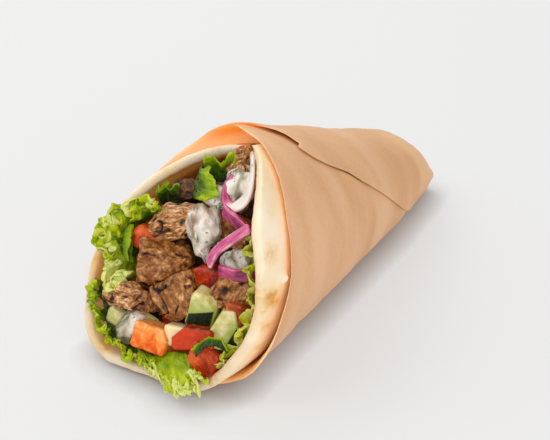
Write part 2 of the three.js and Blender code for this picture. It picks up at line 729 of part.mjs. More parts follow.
export default wrap;
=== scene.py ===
"""A beef gyro wrap: a flatbread rolled into a cone round beef and salad, in a paper sleeve.

It lies on its side with the open mouth towards -Y. Points are worked out in millimetres
in the wrap's own construction frame, and piece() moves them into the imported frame.
"""

import math

import bmesh
import bpy
import numpy as np
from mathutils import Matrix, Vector


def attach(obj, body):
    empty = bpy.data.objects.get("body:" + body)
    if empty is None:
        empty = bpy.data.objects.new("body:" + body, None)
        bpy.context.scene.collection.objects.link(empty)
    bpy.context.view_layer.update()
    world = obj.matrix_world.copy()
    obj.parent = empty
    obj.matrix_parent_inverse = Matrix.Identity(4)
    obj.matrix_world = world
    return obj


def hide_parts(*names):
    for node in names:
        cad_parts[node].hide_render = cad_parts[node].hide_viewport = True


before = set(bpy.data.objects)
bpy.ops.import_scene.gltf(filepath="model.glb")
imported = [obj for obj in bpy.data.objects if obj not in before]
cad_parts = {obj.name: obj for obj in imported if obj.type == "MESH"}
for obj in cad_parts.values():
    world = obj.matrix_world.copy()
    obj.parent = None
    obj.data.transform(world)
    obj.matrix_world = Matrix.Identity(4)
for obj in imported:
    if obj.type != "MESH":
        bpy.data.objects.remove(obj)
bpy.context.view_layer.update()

# ---------------------------------------------------------------- table, light and camera
# A pale, evenly lit table in a bright white room. A broad soft lamp stands high at the
# front left, a window behind glows through the paper, and a lamp fills in from the right.
MM = 0.001
OFFSET = np.array([1.5, -2.0, 0.0])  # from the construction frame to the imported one
TABLE_SIZE = 6
CONTACT_REACH = 0.011  # metres from the wrap over which the painted warm contact shadow in the table's glow fades
AIM = Vector((-0.0103, -0.002, 0.0222))
CAMERA_TURN = math.radians(32.98)  # from looking along +Y
CAMERA_HEIGHT = math.radians(27.31)
CAMERA_DISTANCE = 0.4863
LENS_MM = 85


def linear(code):
    """Turns an sRGB hex colour into linear red, green, blue and alpha, by the sRGB curve."""
    shares = [int(code[i : i + 2], 16) / 255 for i in (0, 2, 4)]
    curve = [s / 12.92 if s <= 0.04045 else ((s + 0.055) / 1.055) ** 2.4 for s in shares]
    return curve + [1.0]


def add(tree, kind, sockets=None, out=0, **settings):
    """Adds one shader node and returns its output out, the first if not named. settings are
    its own properties, stops a ramp's (place, colour) pairs, and sockets maps an input to a
    value, a hex colour or the output that feeds it."""
    node = tree.nodes.new("ShaderNode" + kind)
    stops = settings.pop("stops", ())
    for key, value in settings.items():
        setattr(node, key, value)
    for key, value in (sockets or {}).items():
        if isinstance(value, bpy.types.NodeSocket):
            tree.links.new(value, node.inputs[key])
        else:
            node.inputs[key].default_value = linear(value) if isinstance(value, str) else value
    for place, _ in stops[2:]:
        node.color_ramp.elements.new(1.0)
    for element, (place, colour) in zip(node.color_ramp.elements if stops else (), stops):
        element.position = place
        element.color = linear(colour)
    return node.outputs[out] if node.outputs else None


def new_material(name):
    """An empty material and its node tree."""
    made = bpy.data.materials.new(name)
    made.use_nodes = True
    made.node_tree.nodes.clear()
    return made, made.node_tree


table_top, tree = new_material("white_laminate")
# Painted shadow: the table's glow is darkened and warmed near the wrap by ambient occlusion, as a
# painted contact shadow with warm bounce from the paper.
painted_contact_shadow = add(tree, "AmbientOcclusion", {"Distance": CONTACT_REACH}, out="AO", samples=8)
glow_with_painted_shadow = add(tree, "MixRGB", {"Fac": painted_contact_shadow, "Color1": "5a3a22", "Color2": "ffffff"})
shader = add(
    tree,
    "BsdfPrincipled",
    {
        "Base Color": "8a8a8a",
        "Roughness": 0.7,
        "Specular IOR Level": 0.1,
        "Emission Color": glow_with_painted_shadow,
        "Emission Strength": 0.55,
    },
)
add(tree, "OutputMaterial", {"Surface": shader})

bpy.ops.mesh.primitive_plane_add(size=TABLE_SIZE)
table = bpy.context.object
table.name = "table_top"
table.data.materials.append(table_top)

room = bpy.data.worlds.new("white_room")
room.use_nodes = True
daylight = room.node_tree.nodes["Background"]
daylight.inputs["Color"].default_value = linear("ffffff")
daylight.inputs["Strength"].default_value = 0.6
bpy.context.scene.world = room


def lamp(name, place, size, watts, colour):
    """A square area lamp of that size at place, turned towards the wrap."""
    light = bpy.data.lights.new(name, "AREA")
    light.size = size
    light.energy = watts
    light.color = linear(colour)[:3]
    holder = bpy.data.objects.new(name, light)
    holder.location = place
    holder.rotation_euler = (Vector(place) - AIM).to_track_quat("Z", "Y").to_euler()
    bpy.context.scene.collection.objects.link(holder)


lamp("front_left", (-0.65, -0.8, 1.1), 1.1, 9.0, "fffdfa")
lamp("window_behind", (-0.75, 0.6, 0.95), 1.0, 6.0, "fffefc")
lamp("right_fill", (0.95, -0.8, 0.5), 1.1, 7.5, "fffefc")

level = math.cos(CAMERA_HEIGHT)
away = Vector(
    (math.sin(CAMERA_TURN) * level, -math.cos(CAMERA_TURN) * level, math.sin(CAMERA_HEIGHT))
)
lens = bpy.data.cameras.new("camera")
lens.lens = LENS_MM
camera = bpy.data.objects.new("camera", lens)
camera.location = AIM + away * CAMERA_DISTANCE
camera.rotation_euler = away.to_track_quat("Z", "Y").to_euler()
bpy.context.scene.collection.objects.link(camera)
bpy.context.scene.camera = camera
bpy.context.scene.view_settings.view_transform = "Standard"


# ---------------------------------------------------------------- paper sleeve
# A sheet of brown baking parchment, rolled once and a half round the bread. It starts
# hidden near the top, passes under the wrap and comes over the top again, where its free
# edge runs slantwise from the mouth's top to the tail. The tail end is folded in.
CONE_LENGTH = 158.5
CONE_MOUTH_Y = -79.3
MOUTH_HALF_WIDTH, MOUTH_HALF_HEIGHT = 40.7, 45.7
TAIL_HALF_WIDTH, TAIL_HALF_HEIGHT = 20.0, 15.3
HEIGHT_POWER = 1.086  # the section's height shrinks a little later than its width
CONE_DRIFT = -5.4  # how far the tail lies to the left of the mouth
CONE_SINK = 1.2  # how much of the ellipses' bottom is flattened by the table
TAIL_FOLD, TAIL_END = 0.98, 1.112  # where the tail starts to fold in and where it ends
FOLD_NARROWS, FOLD_LOWERS = 0.3, 0.42
MOUTH_UNEVEN = 0.65  # how far along, as a share, the mouth's uneven section reaches
# Humps: height, angle round the cone and half width in degrees.
FAR_BULGE, SHOULDER_SAG = (0.22, 214, 34), (0.16, 126, 32)  # as shares of the section
TAIL_DENT, TAIL_PUFF = (2.2, -25, 35), (1.2, 105, 22)
TOP_ANGLE, TENT_HEIGHT, TENT_REACH = 92, 4.6, 0.42  # the sheet stands up over the mouth
EDGE_LIFT = (1.0, 76, 12)
RIM_FLARE = 1.1
PAPER_INSET = 0.6
PAPER_THICKNESS = 0.5
PAPER_FIRST_ANGLE, PAPER_LAST_ANGLE = 112.0, -416.0
PAPER_COLUMNS, PAPER_ROWS = 404, 104
TAIL_CREASE_T = 0.885  # a crease goes round the sleeve here
# Painted light: the upper tail facet past the crease and the top of the sleeve are painted paler
# where light falls on them; height, angle and half width.
TAIL_PAINTED_LIGHT, TOP_PAINTED_LIGHT = (0.6, 35, 45), (0.3, 80, 22)
BRANCH_ANGLE, BRANCH_T, BRANCH_HEIGHT = 36, 0.47, 2.0  # a short crease under the free edge
TAIL_DISH, TAIL_PLEATS, TAIL_THICKNESS = 7.0, 9, 0.45
PAPER_WAVES = [  # height, stretch along x, y and z, size in mm, seed
    (0.45, (1, 0.55, 1), 26, 3), (0.22, (1, 0.6, 1), 12, 5), (0.07, (1, 1, 1), 3.4, 8),
    (0.22, (0.3, 1, 0.3), 11, 14),
]
PAPER_EDGE = [  # angle round the cone, y
    (-90, -79), (-60, -76), (-30, -79), (-10, -76), (4, -71), (28, -63.6), (48, -54),
    (68, -45), (84, -39.5), (95, -38), (110, -36), (130, -32.5), (147, -36), (165, -46),
    (185, -58), (210, -71), (235, -79), (270, -79),
]
FLAP_STEP = 0.024  # the free edge's torn step near the top, as a share of the length
FLAP_EDGE = [  # angle round the cone, share of its length
    (-56, 1.04), (-13, 0.783), (18, 0.616), (39, 0.475), (50, 0.395), (62, 0.345),
    (93, 0.305), (112, 0.27),
]


def smooth(x):
    """Rises from 0 to 1 as x does, level at both ends."""
    x = np.clip(x, 0, 1)
    return x * x * (3 - 2 * x)


def between(x, rise, fall):
    """Rises smoothly from 0 to 1 over the stretch rise, and falls back over fall."""
    risen = smooth((x - rise[0]) / (rise[1] - rise[0]))
    return risen * smooth((fall[1] - x) / (fall[1] - fall[0]))


def bell(x):
    """A bump of height 1 at x = 0: e to the power of minus x squared."""
    return np.exp(-x * x)


def hump(angle, shape):
    """A bell() over an angle; shape gives its height, its middle and its half width."""
    height, middle, spread = shape
    return height * bell((angle - middle) / spread)


def along(stations, x):
    """Value at x of the smooth curve through (x, value) stations: a cubic between each
    two, whose slope at a station is that of the line joining its two neighbours."""
    xs, ys = np.array(stations, float).T
    slopes = np.gradient(ys) / np.gradient(xs)
    slopes[0] = (ys[1] - ys[0]) / (xs[1] - xs[0])
    slopes[-1] = (ys[-1] - ys[-2]) / (xs[-1] - xs[-2])
    x = np.clip(x, xs[0], xs[-1])
    i = np.clip(np.searchsorted(xs, x, side="right") - 1, 0, len(xs) - 2)
    width = xs[i + 1] - xs[i]
    s = (x - xs[i]) / width
    start = (1 + 2 * s) * (1 - s) ** 2 * ys[i] + s * (1 - s) ** 2 * width * slopes[i]
    return start + s * s * (3 - 2 * s) * ys[i + 1] + s * s * (s - 1) * width * slopes[i + 1]


def wrap_angle(angle):
    """The same direction brought into -90 to 270 degrees."""
    return (angle + 90) % 360 - 90


def cone_point(t, angle, inset, floor):
    """Points of the cone at t along it and an angle round it, moved in by inset and no
    lower than floor: ellipses that shrink towards the tail, with the far upper shoulder
    sagging in, the far lower side bulging out, and the end folded down and tucked under."""
    grown = np.where(t < 0, t, np.abs(t) ** HEIGHT_POWER)
    half_width = MOUTH_HALF_WIDTH + (TAIL_HALF_WIDTH - MOUTH_HALF_WIDTH) * t
    half_height = MOUTH_HALF_HEIGHT + (TAIL_HALF_HEIGHT - MOUTH_HALF_HEIGHT) * grown
    pinch = np.clip((t - TAIL_FOLD) / (TAIL_END - TAIL_FOLD), 0, 1)
    half_width = half_width * (1 - FOLD_NARROWS * pinch)
    half_height = half_height * (1 - FOLD_LOWERS * pinch)
    fade = np.minimum(np.clip(1 - t / MOUTH_UNEVEN, 0, None) ** 2, 1)
    turn = wrap_angle(angle)
    uneven = 1 + fade * (hump(turn, FAR_BULGE) - hump(turn, SHOULDER_SAG))
    inset = inset + hump(turn, TAIL_DENT) * smooth((t - 0.78) / 0.2)
    inset = inset - hump(turn, TAIL_PUFF) * between(t, (0.7, 0.9), (1.0, 1.05))
    around = np.radians(angle)
    x = CONE_DRIFT * t + (half_width * uneven - inset) * np.cos(around)
    z = half_height + (half_height * uneven - inset) * np.sin(around)
    y = CONE_MOUTH_Y + CONE_LENGTH * t + 0 * x
    return np.stack([x, y, np.maximum(z - CONE_SINK, floor)], -1)


def lattice(cells, seed):
    """Three random numbers from -1 to 1 for each whole-numbered cell, by mixing bits."""
    keys = np.array([73856093, 19349663, 83492791], np.int64)
    mixed = (cells.astype(np.int64) * keys).sum(-1) + seed * 2654435761
    out = []
    for _ in range(3):
        mixed = ((mixed ^ (mixed >> 15)) & 0xFFFFFFFF) * 739982445 & 0xFFFFFFFF
        out.append((mixed ^ (mixed >> 12)) % 65536 / 32767.5 - 1)
    return np.stack(out, -1)


def noise(points, size, seed):
    """Smooth random field, about -1 to 1, whose bumps are size millimetres apart: each
    lattice corner's random slope, blended across the cell."""
    place = points / size
    cell = np.floor(place)
    part = place - cell
    fade = part**3 * (part * (part * 6 - 15) + 10)
    total = 0
    for corner in np.ndindex(2, 2, 2):
        share = np.prod(np.where(corner, fade, 1 - fade), -1)
        total = total + share * (lattice(cell + corner, seed) * (part - corner)).sum(-1)
    return total * 1.5


def layered(points, size, seed, octaves=3):
    """noise() at size, half, a quarter and so on, each with half the height."""
    return sum(noise(points, size / 2**k, seed + k) / 2**k for k in range(octaves))


def blend(points, rows, seed=0):
    """The sum of several noise() fields, each row giving one's height, size and seed."""
    return sum(height * noise(points, size, seed + own) for height, size, own in rows)


def piece(name, grids, attributes=None, turn_outwards=True):
    """One mesh from grids of points in millimetres, each (columns, rows, 3) and split into
    quads. Edges that meet are merged and faces turned outwards, unless the grids already
    face that way. attributes maps a name to one array for each grid, of single values or
    of vectors."""
    corners = np.concatenate([grid.reshape(-1, 3) for grid in grids])
    quads, start = [], 0
    for grid in grids:
        index = start + np.arange(grid.shape[0] * grid.shape[1]).reshape(grid.shape[:2])
        quad = [index[:-1, :-1], index[1:, :-1], index[1:, 1:], index[:-1, 1:]]
        quads.append(np.stack(quad, -1))
        start += index.size
    quads = np.concatenate([block.reshape(-1, 4) for block in quads])
    mesh = bpy.data.meshes.new(name)
    mesh.vertices.add(len(corners))
    mesh.vertices.foreach_set("co", ((corners + OFFSET) * MM).ravel())
    mesh.loops.add(quads.size)
    mesh.loops.foreach_set("vertex_index", quads.ravel().astype(np.int32))
    mesh.polygons.add(len(quads))
    mesh.polygons.foreach_set("loop_start", np.arange(0, quads.size, 4, dtype=np.int32))
    for key, arrays in (attributes or {}).items():
        vector = arrays[0].ndim == 3
        layer = mesh.attributes.new(key, "FLOAT_VECTOR" if vector else "FLOAT", "POINT")
        flat = np.concatenate([a.reshape(-1) for a in arrays]).astype(np.float32)
        layer.data.foreach_set("vector" if vector else "value", flat)
    mesh.update(calc_edges=True)
    work = bmesh.new()
    work.from_mesh(mesh)
    bmesh.ops.remove_doubles(work, verts=work.verts, dist=0.002 * MM)
    if turn_outwards:
        bmesh.ops.recalc_face_normals(work, faces=work.faces)
    work.to_mesh(mesh)
    work.free()
    mesh.shade_smooth()
    made = bpy.data.objects.new(name, mesh)
    bpy.context.scene.collection.objects.link(made)
    return made


def stands_for(made, node, material):
    """Gives a piece its material and its place in the frame: it replaces the CAD node."""
    made.data.materials.append(material)
    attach(made, "root")
    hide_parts(node)


def grid_of(first, last, columns, low, high, rows):
    """Two arrays (columns, rows): one value rises over the columns, the other over rows."""
    across, along_rows = np.linspace(first, last, columns), np.linspace(low, high, rows)
    return np.meshgrid(across, along_rows, indexing="ij")


def paper_front(turned):
    """t of the sheet's front edge: the sleeve's rim, and past the top the free edge."""
    rim = (along(PAPER_EDGE, wrap_angle(turned)) - CONE_MOUTH_Y) / CONE_LENGTH
    over_top = turned + 360
    flap = along(FLAP_EDGE, over_top) + FLAP_STEP * between(over_top, (63, 65.5), (80, 98))
    hidden = 0.1 * smooth((turned - 92) / 12)
    return rim + hidden + (flap - rim) * smooth((97 - over_top) / 6)


def crumple(turned, t):
    """How far the paper stands off its cone, in mm: broad soft facets and bands round it, a
    few long creases that fan out from the mouth's top, one short one below the free edge,
    the fold of the tail, and fine handling wrinkles."""
    spot = cone_point(t, turned, 0.0, -99.0)
    waves = sum(high * noise(spot * pull, size, seed) for high, pull, size, seed in PAPER_WAVES)
    turn = wrap_angle(turned)
    fan = (turn - TOP_ANGLE) / (t * 100 + 22)
    creases = 0.3 * (1 - np.abs(noise(np.stack([fan * 40, t * 30, 0 * t], -1), 9, 11)) * 2.2)
    fold = -0.5 * bell((t - TAIL_CREASE_T) / 0.012) * between(turn, (-60, 0), (100, 160))
    across = (turn - BRANCH_ANGLE) + (t - BRANCH_T) * 160
    branch = np.exp(-np.abs(across) / 5) - 0.4 * np.exp(-np.abs(across - 9) / 4)
    branch = BRANCH_HEIGHT * branch * bell((t - BRANCH_T - 0.01) / 0.05)
    return waves + 0.5 * np.clip(creases, -0.1, 0.3) + fold + branch


def paper_point(turned, t, depth):
    """Points of the sheet at a turned angle and t, depth millimetres inside its outer face.
    It stands up along the top of the mouth, and flares a little along the near rim."""
    over_top = turned + 360
    after = t - paper_front(turned)
    lifted = hump(over_top, EDGE_LIFT) * bell(after / 0.07) * smooth((110 - over_top) / 20)
    ridge = np.exp(-np.sqrt(((wrap_angle(turned) - TOP_ANGLE) / 7) ** 2 + 0.02))
    tent = TENT_HEIGHT * ridge * np.clip(1 - t / TENT_REACH, 0, 1) ** 0.8
    flare = RIM_FLARE * np.clip(1 - after * CONE_LENGTH / 6, 0, 1) ** 2
    flare = flare * between(turned, (-70, -40), (64, 84))
    inset = PAPER_INSET - (PAPER_FIRST_ANGLE - turned) / 360 - flare
    return cone_point(t, turned, inset - lifted - tent - crumple(turned, t) + depth, depth)


def banded(outer, inner):
    """Joins outer and inner values into one closed band: out along one, back on the other."""
    return np.concatenate([outer, inner[:, ::-1], outer[:, :1]], 1)


def paper_sleeve():
    """A closed band round the sheet's cross-section: up its inner face from tail to mouth,
    round the rim and back along the outer face, for every angle of the roll. Returns it
    with the shares, point by point, that its material needs."""
    turned, share = grid_of(
        PAPER_FIRST_ANGLE, PAPER_LAST_ANGLE, PAPER_COLUMNS, 0, 1, PAPER_ROWS
    )
    front = paper_front(turned)
    t = front + (TAIL_END - front) * share**0.9
    turn = wrap_angle(turned)
    behind = (t - front) * CONE_LENGTH
    thick = PAPER_THICKNESS * (0.4 + 0.6 * smooth(behind / 2.5))
    thick[[0, -1]] = 0
    outer = paper_point(turned, t, (PAPER_THICKNESS - thick) / 2)
    inner = paper_point(turned, t, (PAPER_THICKNESS + thick) / 2)
    none = np.zeros_like(t)
    far = between(turn, (84, 98), (220, 250))
    free = far * smooth(1.15 - behind / 26)
    # Painted glow: the inner face emits warm light along the near rim and over the mouth, standing
    # in for light coming through the paper.
    near_rim = np.clip(1 - behind / 9, 0, 1) * smooth((turned + 262) / 12) * (1 - far)
    over_mouth = far * smooth(1.3 - behind / 50) * smooth((185 - turn) / 45)
    painted_glow_share = 0.26 * near_rim + 0.46 * over_mouth
    veil = between(turn, (112, 142), (185, 215))
    # Painted light: paler on the upper tail facet and along the top.
    pale = smooth((t - TAIL_CREASE_T) / 0.03) * hump(turn, TAIL_PAINTED_LIGHT) + hump(turn, TOP_PAINTED_LIGHT)
    shares = {
        "inside": banded(none, none + 1),
        "behind_edge": banded(behind, behind),
        "free": banded(0.7 * free, free),
        "painted_glow_share": banded(none, painted_glow_share),
        "veil": banded(veil, veil),
        "tail": banded(pale, pale),
    }
    return banded(outer, inner), shares


def paper_tail():
    """The end folded in: a disc round the tail's middle, dished inwards in radial pleats."""
    angle, share = grid_of(0, 360, 181, 0, 1, 30)
    rim = cone_point(0 * angle + TAIL_END - 0.004, angle, 0.3, 0.6)
    heart = np.array([CONE_DRIFT - 1.0, 0, 7.0])
    around = np.radians(angle)
    pleats = np.sin(TAIL_PLEATS * around + 1.7 * np.sin(around * 2)) * (1 - share) ** 0.7
    dish = -TAIL_DISH * (1 - share) ** 0.8 * (1 - 0.3 * share) + 1.1 * pleats * share**0.5
    flat = heart + (rim - heart) * share[..., None]
    front = np.stack([flat[..., 0], rim[..., 1] + dish, flat[..., 2]], -1)
    behind = front - np.array([0, TAIL_THICKNESS, 0]) * smooth((1 - share[..., None]) * 12)
    return front, behind


parchment, tree = new_material("brown_parchment_paper")
# Unbleached parchment: smooth, faintly mottled with fibres, a soft waxy sheen, and thin
# enough that light passes through it. Its inner face is painted cream to orange and glows
# by emission near the rim and over the mouth, and its top and tail facet are painted
# paler: painted light.
inner, behind, veil, tail, free, painted_glow_share = (
    add(tree, "Attribute", out="Fac", attribute_name=name)
    for name in ("inside", "behind_edge", "veil", "tail", "free", "painted_glow_share")
)
spot = add(tree, "TexCoord", out="Object")
stretched = add(tree, "Mapping", {"Vector": spot, "Scale": (0.3, 1.0, 0.3)})
cloud = add(tree, "TexNoise", {"Vector": stretched, "Scale": 60.0, "Detail": 2.0, "Roughness": 0.5})
fibre = add(tree, "TexNoise", {"Vector": spot, "Scale": 900.0, "Detail": 3.0, "Roughness": 0.7})
mottle = add(tree, "MixRGB", {"Fac": 0.3, "Color1": cloud, "Color2": fibre})
tone = add(
    tree, "ValToRGB", {"Fac": mottle}, stops=[(0.36, "dba36a"), (0.5, "e4ae7b"), (0.64, "edbc8e")]
)
# Painted light: the inner face runs from pale cream at the rim to orange deeper in, and pale cream
# on the thin part over the mouth, standing in for light coming through the paper.
deeper = add(tree, "MapRange", {0: behind, 1: 0.0, 2: 9.0})
painted_glow_tint = add(tree, "MixRGB", {"Fac": deeper, "Color1": "fde6c0", "Color2": "f6a650"})
milky = add(tree, "MixRGB", {"Fac": veil, "Color1": painted_glow_tint, "Color2": "ffe9cc"})
lantern = add(tree, "MixRGB", {"Fac": veil, "Color1": "ffdc98", "Color2": "ffeed6"})
# Painted light: the outer face is painted paler on its lit top and tail facet.
outer = add(tree, "MixRGB", {"Fac": tail, "Color1": tone, "Color2": "fbd2a2"})
face = add(tree, "MixRGB", {"Fac": inner, "Color1": outer, "Color2": milky})
# Painted glow colour: orange, paler on the thin far part over the mouth.
painted_emission_colour = add(tree, "MixRGB", {"Fac": veil, "Color1": "f4901c", "Color2": "ffcf94"})
grit = add(tree, "Bump", {"Height": fibre, "Strength": 0.2, "Distance": 0.0001})
body = add(
    tree,
    "BsdfPrincipled",
    {
        "Base Color": face,
        "Roughness": 0.5,
        "Specular IOR Level": 0.35,
        "Normal": grit,
        "Emission Color": painted_emission_colour,
        "Emission Strength": painted_glow_share,
    },
)
through = add(tree, "BsdfTranslucent", {"Color": lantern, "Normal": grit})
passing = add(tree, "MapRange", {0: free, 3: 0.12, 4: 0.45})
both = add(tree, "MixShader", {0: passing, 1: body, 2: through})
add(tree, "OutputMaterial", {"Surface": both})

sleeve, shares = paper_sleeve()
tail_faces = paper_tail()
blank = np.zeros(tail_faces[0].shape[:2])
attributes = {name: [values, blank, blank] for name, values in shares.items()}
attributes["inside"][2] = blank + 1
attributes["behind_edge"][1:] = [blank + 50, blank + 50]
paper = piece("parchment_sleeve", [sleeve, *tail_faces], attributes)
stands_for(paper, "paper", parchment)

# ---------------------------------------------------------------- flatbread
# One round of soft wheat flatbread, toasted in spots, rolled once round the filling. Its
# outer end lies under the paper near the top; the far side tucks in beneath it, and the
# near side of the rim curls inwards.
BREAD_THICKNESS = 3.6
BREAD_INSET = 1.5
BREAD_TUCK = 4.6  # how much deeper the last part of the roll lies
BREAD_DENT = (1.2, -242, 26)
RIM_CURL, RIM_FLAKE, RIM_TEAR = 3.4, (2.0, 7, 2.2), (2.4, 5, 2.4)
RIM_PAINTED_LIGHT = (4.5, 194, 16)  # the painted tan and shade of the inner face begin this much deeper on the lower far side, as painted light through the dough
BREAD_COLUMNS, BREAD_ROWS, RIM_STEPS = 440, 64, 18
BREAD_RAGGED = [(0.7, 12, 21), (0.35, 3.5, 22)]  # height, size in mm, seed
BREAD_PUFFS = [(0.4, 13, 31), (0.22, 6, 32), (0.08, 2.4, 33)]
BREAD_FIRST_ANGLE, BREAD_LAST_ANGLE = 76.0, -294.0
BREAD_TAIL_T = 0.88
MM_PER_DEGREE = 0.7  # round the mouth
BREAD_EDGE = [  # angle round the cone, y
    (-90, -84.5), (-55, -83.5), (-25, -81), (0, -80.5), (16, -78.5), (30, -74.5), (43, -67),
    (52, -60), (64, -50), (76, -42), (90, -37), (107, -36.5), (129, -36), (145, -39.5),
    (162, -51), (185, -64), (208, -75), (228, -84.5), (250, -85), (270, -84.5),
]


def bread_inset(turned):
    """How deep the bread's outer face lies: the last part of the roll tucks further in."""
    return BREAD_INSET + BREAD_TUCK * smooth((-198 - turned) / 84) + hump(turned, BREAD_DENT)


TOAST = [  # angle, mm behind the rim, 0 outer face to 1 inner face, radius, strength
    (17, 4.2, 0.2, 4.4, 0.45), (-3, 4, 0.2, 5, 0.75), (-17, 4, 0.2, 4, 0.5), (-57, 5, 1, 6.5, 0.8),
    (-40, 3, 1, 3, 0.5), (52, 4, 0.3, 3, 0.3), (34, 6, 0, 3, 0.25), (-30, 4, 0.2, 3, 0.4),
    (150, 6, 1, 6, 1.0), (138, 9, 1, 5, 0.9), (162, 7, 1, 4, 0.8), (126, 12, 1, 6, 0.8),
    (212, 2, 0.2, 4, 0.6), (196, 1, 0.8, 4, 0.5), (232, 3, 0.9, 5, 0.6), (262, 3, 0.8, 4, 0.6),
    (110, 1, 0.4, 2.4, 0.4), (172, 1, 0.3, 3, 0.4), (88, 8, 1, 6, 0.8), (70, 14, 1, 8, 0.6),
]


def toasting(angle, behind, inner, spot):
    """0 to 1 where the griddle browned the bread: chosen round spots with ragged borders,
    and a broken brown line a few millimetres inside the far rim."""
    total = 0
    ragged = 1 + blend(spot, [(0.35, 2.6, 37), (0.15, 1.1, 38)])
    for where, back, face, radius, strength in TOAST:
        turn = (angle - where + 180) % 360 - 180
        through = (inner - face) * BREAD_THICKNESS
        away = np.sqrt((turn * MM_PER_DEGREE) ** 2 + (behind - back) ** 2 + through**2)
        total = np.maximum(total, strength * smooth((1.4 - away / radius * ragged) / 1.3))
    scorched = between(angle, (112, 124), (164, 178)) * inner
    line = bell((behind - 3.6 - 0.8 * noise(spot, 9, 39)) / 0.7)
    broken = smooth(0.5 + 1.6 * noise(spot, 5, 40))
    return np.maximum(total, 0.9 * scorched * line * broken)


def bread_body():
    """A closed band round the bread's cross-section: along the outer face to the rim, round
    its soft edge and back along the inner face, for every angle of the roll."""
    turned = np.linspace(BREAD_FIRST_ANGLE, BREAD_LAST_ANGLE, BREAD_COLUMNS)[:, None]
    ragged = blend(turned * np.array([MM_PER_DEGREE, 0, 0]), BREAD_RAGGED)[:, None]
    flake = hump(turned, RIM_FLAKE)
    front = (along(BREAD_EDGE, wrap_angle(turned)) + ragged - CONE_MOUTH_Y) / CONE_LENGTH
    back = np.linspace(1, 0, BREAD_ROWS)[None, :] ** 1.3
    soft = 0.7 * BREAD_THICKNESS / 2 / CONE_LENGTH
    face_t = np.minimum(front + soft + (BREAD_TAIL_T - front) * back, BREAD_TAIL_T)
    bow = np.linspace(0, np.pi, RIM_STEPS)[None, 1:-1]
    rim_t = front + soft * (1 - np.sin(bow)) - flake * bell((bow - 0.5) / 0.5) / CONE_LENGTH
    t = np.concatenate([face_t, rim_t, face_t[:, ::-1], face_t[:, :1]], 1)
    ones = np.ones_like(face_t)
    side = np.concatenate([ones, np.cos(bow) + 0 * front, -ones, ones[:, :1]], 1)
    ends = np.arange(BREAD_COLUMNS)[:, None]
    ends = np.minimum(ends, ends[::-1])
    half = BREAD_THICKNESS / 2 * np.sqrt(smooth(ends / 9))
    turned = turned + 0 * t
    y = CONE_MOUTH_Y + CONE_LENGTH * t
    behind = y - (CONE_MOUTH_Y + CONE_LENGTH * front)
    near = between(turned, (-75, -35), (26, 52))
    lip = RIM_CURL * near * np.clip(1 - behind / 16, 0, 1) ** 2
    spot = cone_point(t, turned, 0.0, -99.0)
    faced = spot + side[..., None] * np.array([9.0, 5.0, 7.0])
    middle = bread_inset(turned) + BREAD_THICKNESS / 2 + lip
    torn = hump(turned, RIM_TEAR) * bell((behind - 8.6) / 1.4) * (side > 0.99)
    thick = half * (1 + 0.1 * noise(spot, 15, 35)) + 0.7 * blend(faced, BREAD_PUFFS) * side + torn
    thick = np.where(ends < 1, 0, thick)
    floor = BREAD_INSET + BREAD_THICKNESS / 2 - side * half
    inner = (1 - side) / 2
    points = cone_point(t, turned, middle - side * thick, floor)
    # Painted light: on the lower far side the painted tan and shade of the inner face begin deeper.
    painted_light = hump(wrap_angle(turned), RIM_PAINTED_LIGHT) * smooth((8 - behind) / 4)
    return points, inner, behind + painted_light, toasting(turned, behind, inner, spot)


flatbread_dough, tree = new_material("toasted_wheat_flatbread")
# Soft white flatbread: matt and floury cream, amber toasted spots where it touched the
# griddle, and an inner face painted tan with a painted warm glow behind the rim, for light
# through the dough, and painted dark brown deeper inside as painted shade.
inner, depth, toast = (
    add(tree, "Attribute", out="Fac", attribute_name=name)
    for name in ("inside", "from_rim", "toast")
)
spot = add(tree, "TexCoord", out="Object")
cloud = add(tree, "TexNoise", {"Vector": spot, "Scale": 60.0, "Detail": 3.0})
dough = add(
    tree, "ValToRGB", {"Fac": cloud}, stops=[(0.3, "f0d8ac"), (0.5, "f5e3c2"), (0.7, "f8ecd4")]
)
# Painted light and shade on the inner face: tan a little behind the rim, standing in for light
# through the dough, then dark brown deeper inside as painted shade.
deeper = add(tree, "MapRange", {0: depth, 1: 1.5, 2: 6.0})
share = add(tree, "Math", {0: deeper, 1: inner}, operation="MULTIPLY")
tan = add(tree, "MixRGB", {"Fac": share, "Color1": dough, "Color2": "e4a855"})
painted_shade_depth = add(tree, "MapRange", {0: depth, 1: 7.0, 2: 17.0})
shaded = add(tree, "Math", {0: painted_shade_depth, 1: inner}, operation="MULTIPLY")
warm = add(tree, "MixRGB", {"Fac": shaded, "Color1": tan, "Color2": "8a4a0c"})
# Painted glow: the inner face emits warm light behind the rim, standing in for light coming through
# the dough.
painted_glow_ramp = add(tree, "MixRGB", {"Fac": shaded, "Color1": "e09a3c", "Color2": "5a2c06"})
painted_glow_tint = add(tree, "MixRGB", {"Fac": share, "Color1": "000000", "Color2": painted_glow_ramp})
fine = add(tree, "TexNoise", {"Vector": spot, "Scale": 420.0, "Detail": 4.0, "Roughness": 0.6})
uneven = add(tree, "MapRange", {0: fine, 1: 0.3, 2: 0.6, 3: 0.55, 4: 1.0})
brown = add(tree, "Math", {0: toast, 1: uneven}, operation="MULTIPLY")
browned = add(
    tree, "ValToRGB", {"Fac": brown}, stops=[(0.15, "f4d9a6"), (0.5, "e0b06a"), (0.9, "b87a3c")]
)
amount = add(tree, "MapRange", {0: brown, 1: 0.02, 2: 0.5})
colour = add(tree, "MixRGB", {"Fac": amount, "Color1": warm, "Color2": browned})
pores = add(tree, "TexNoise", {"Vector": spot, "Scale": 1100.0, "Detail": 3.0})
skin = add(tree, "Bump", {"Height": pores, "Strength": 0.3, "Distance": 0.0002})
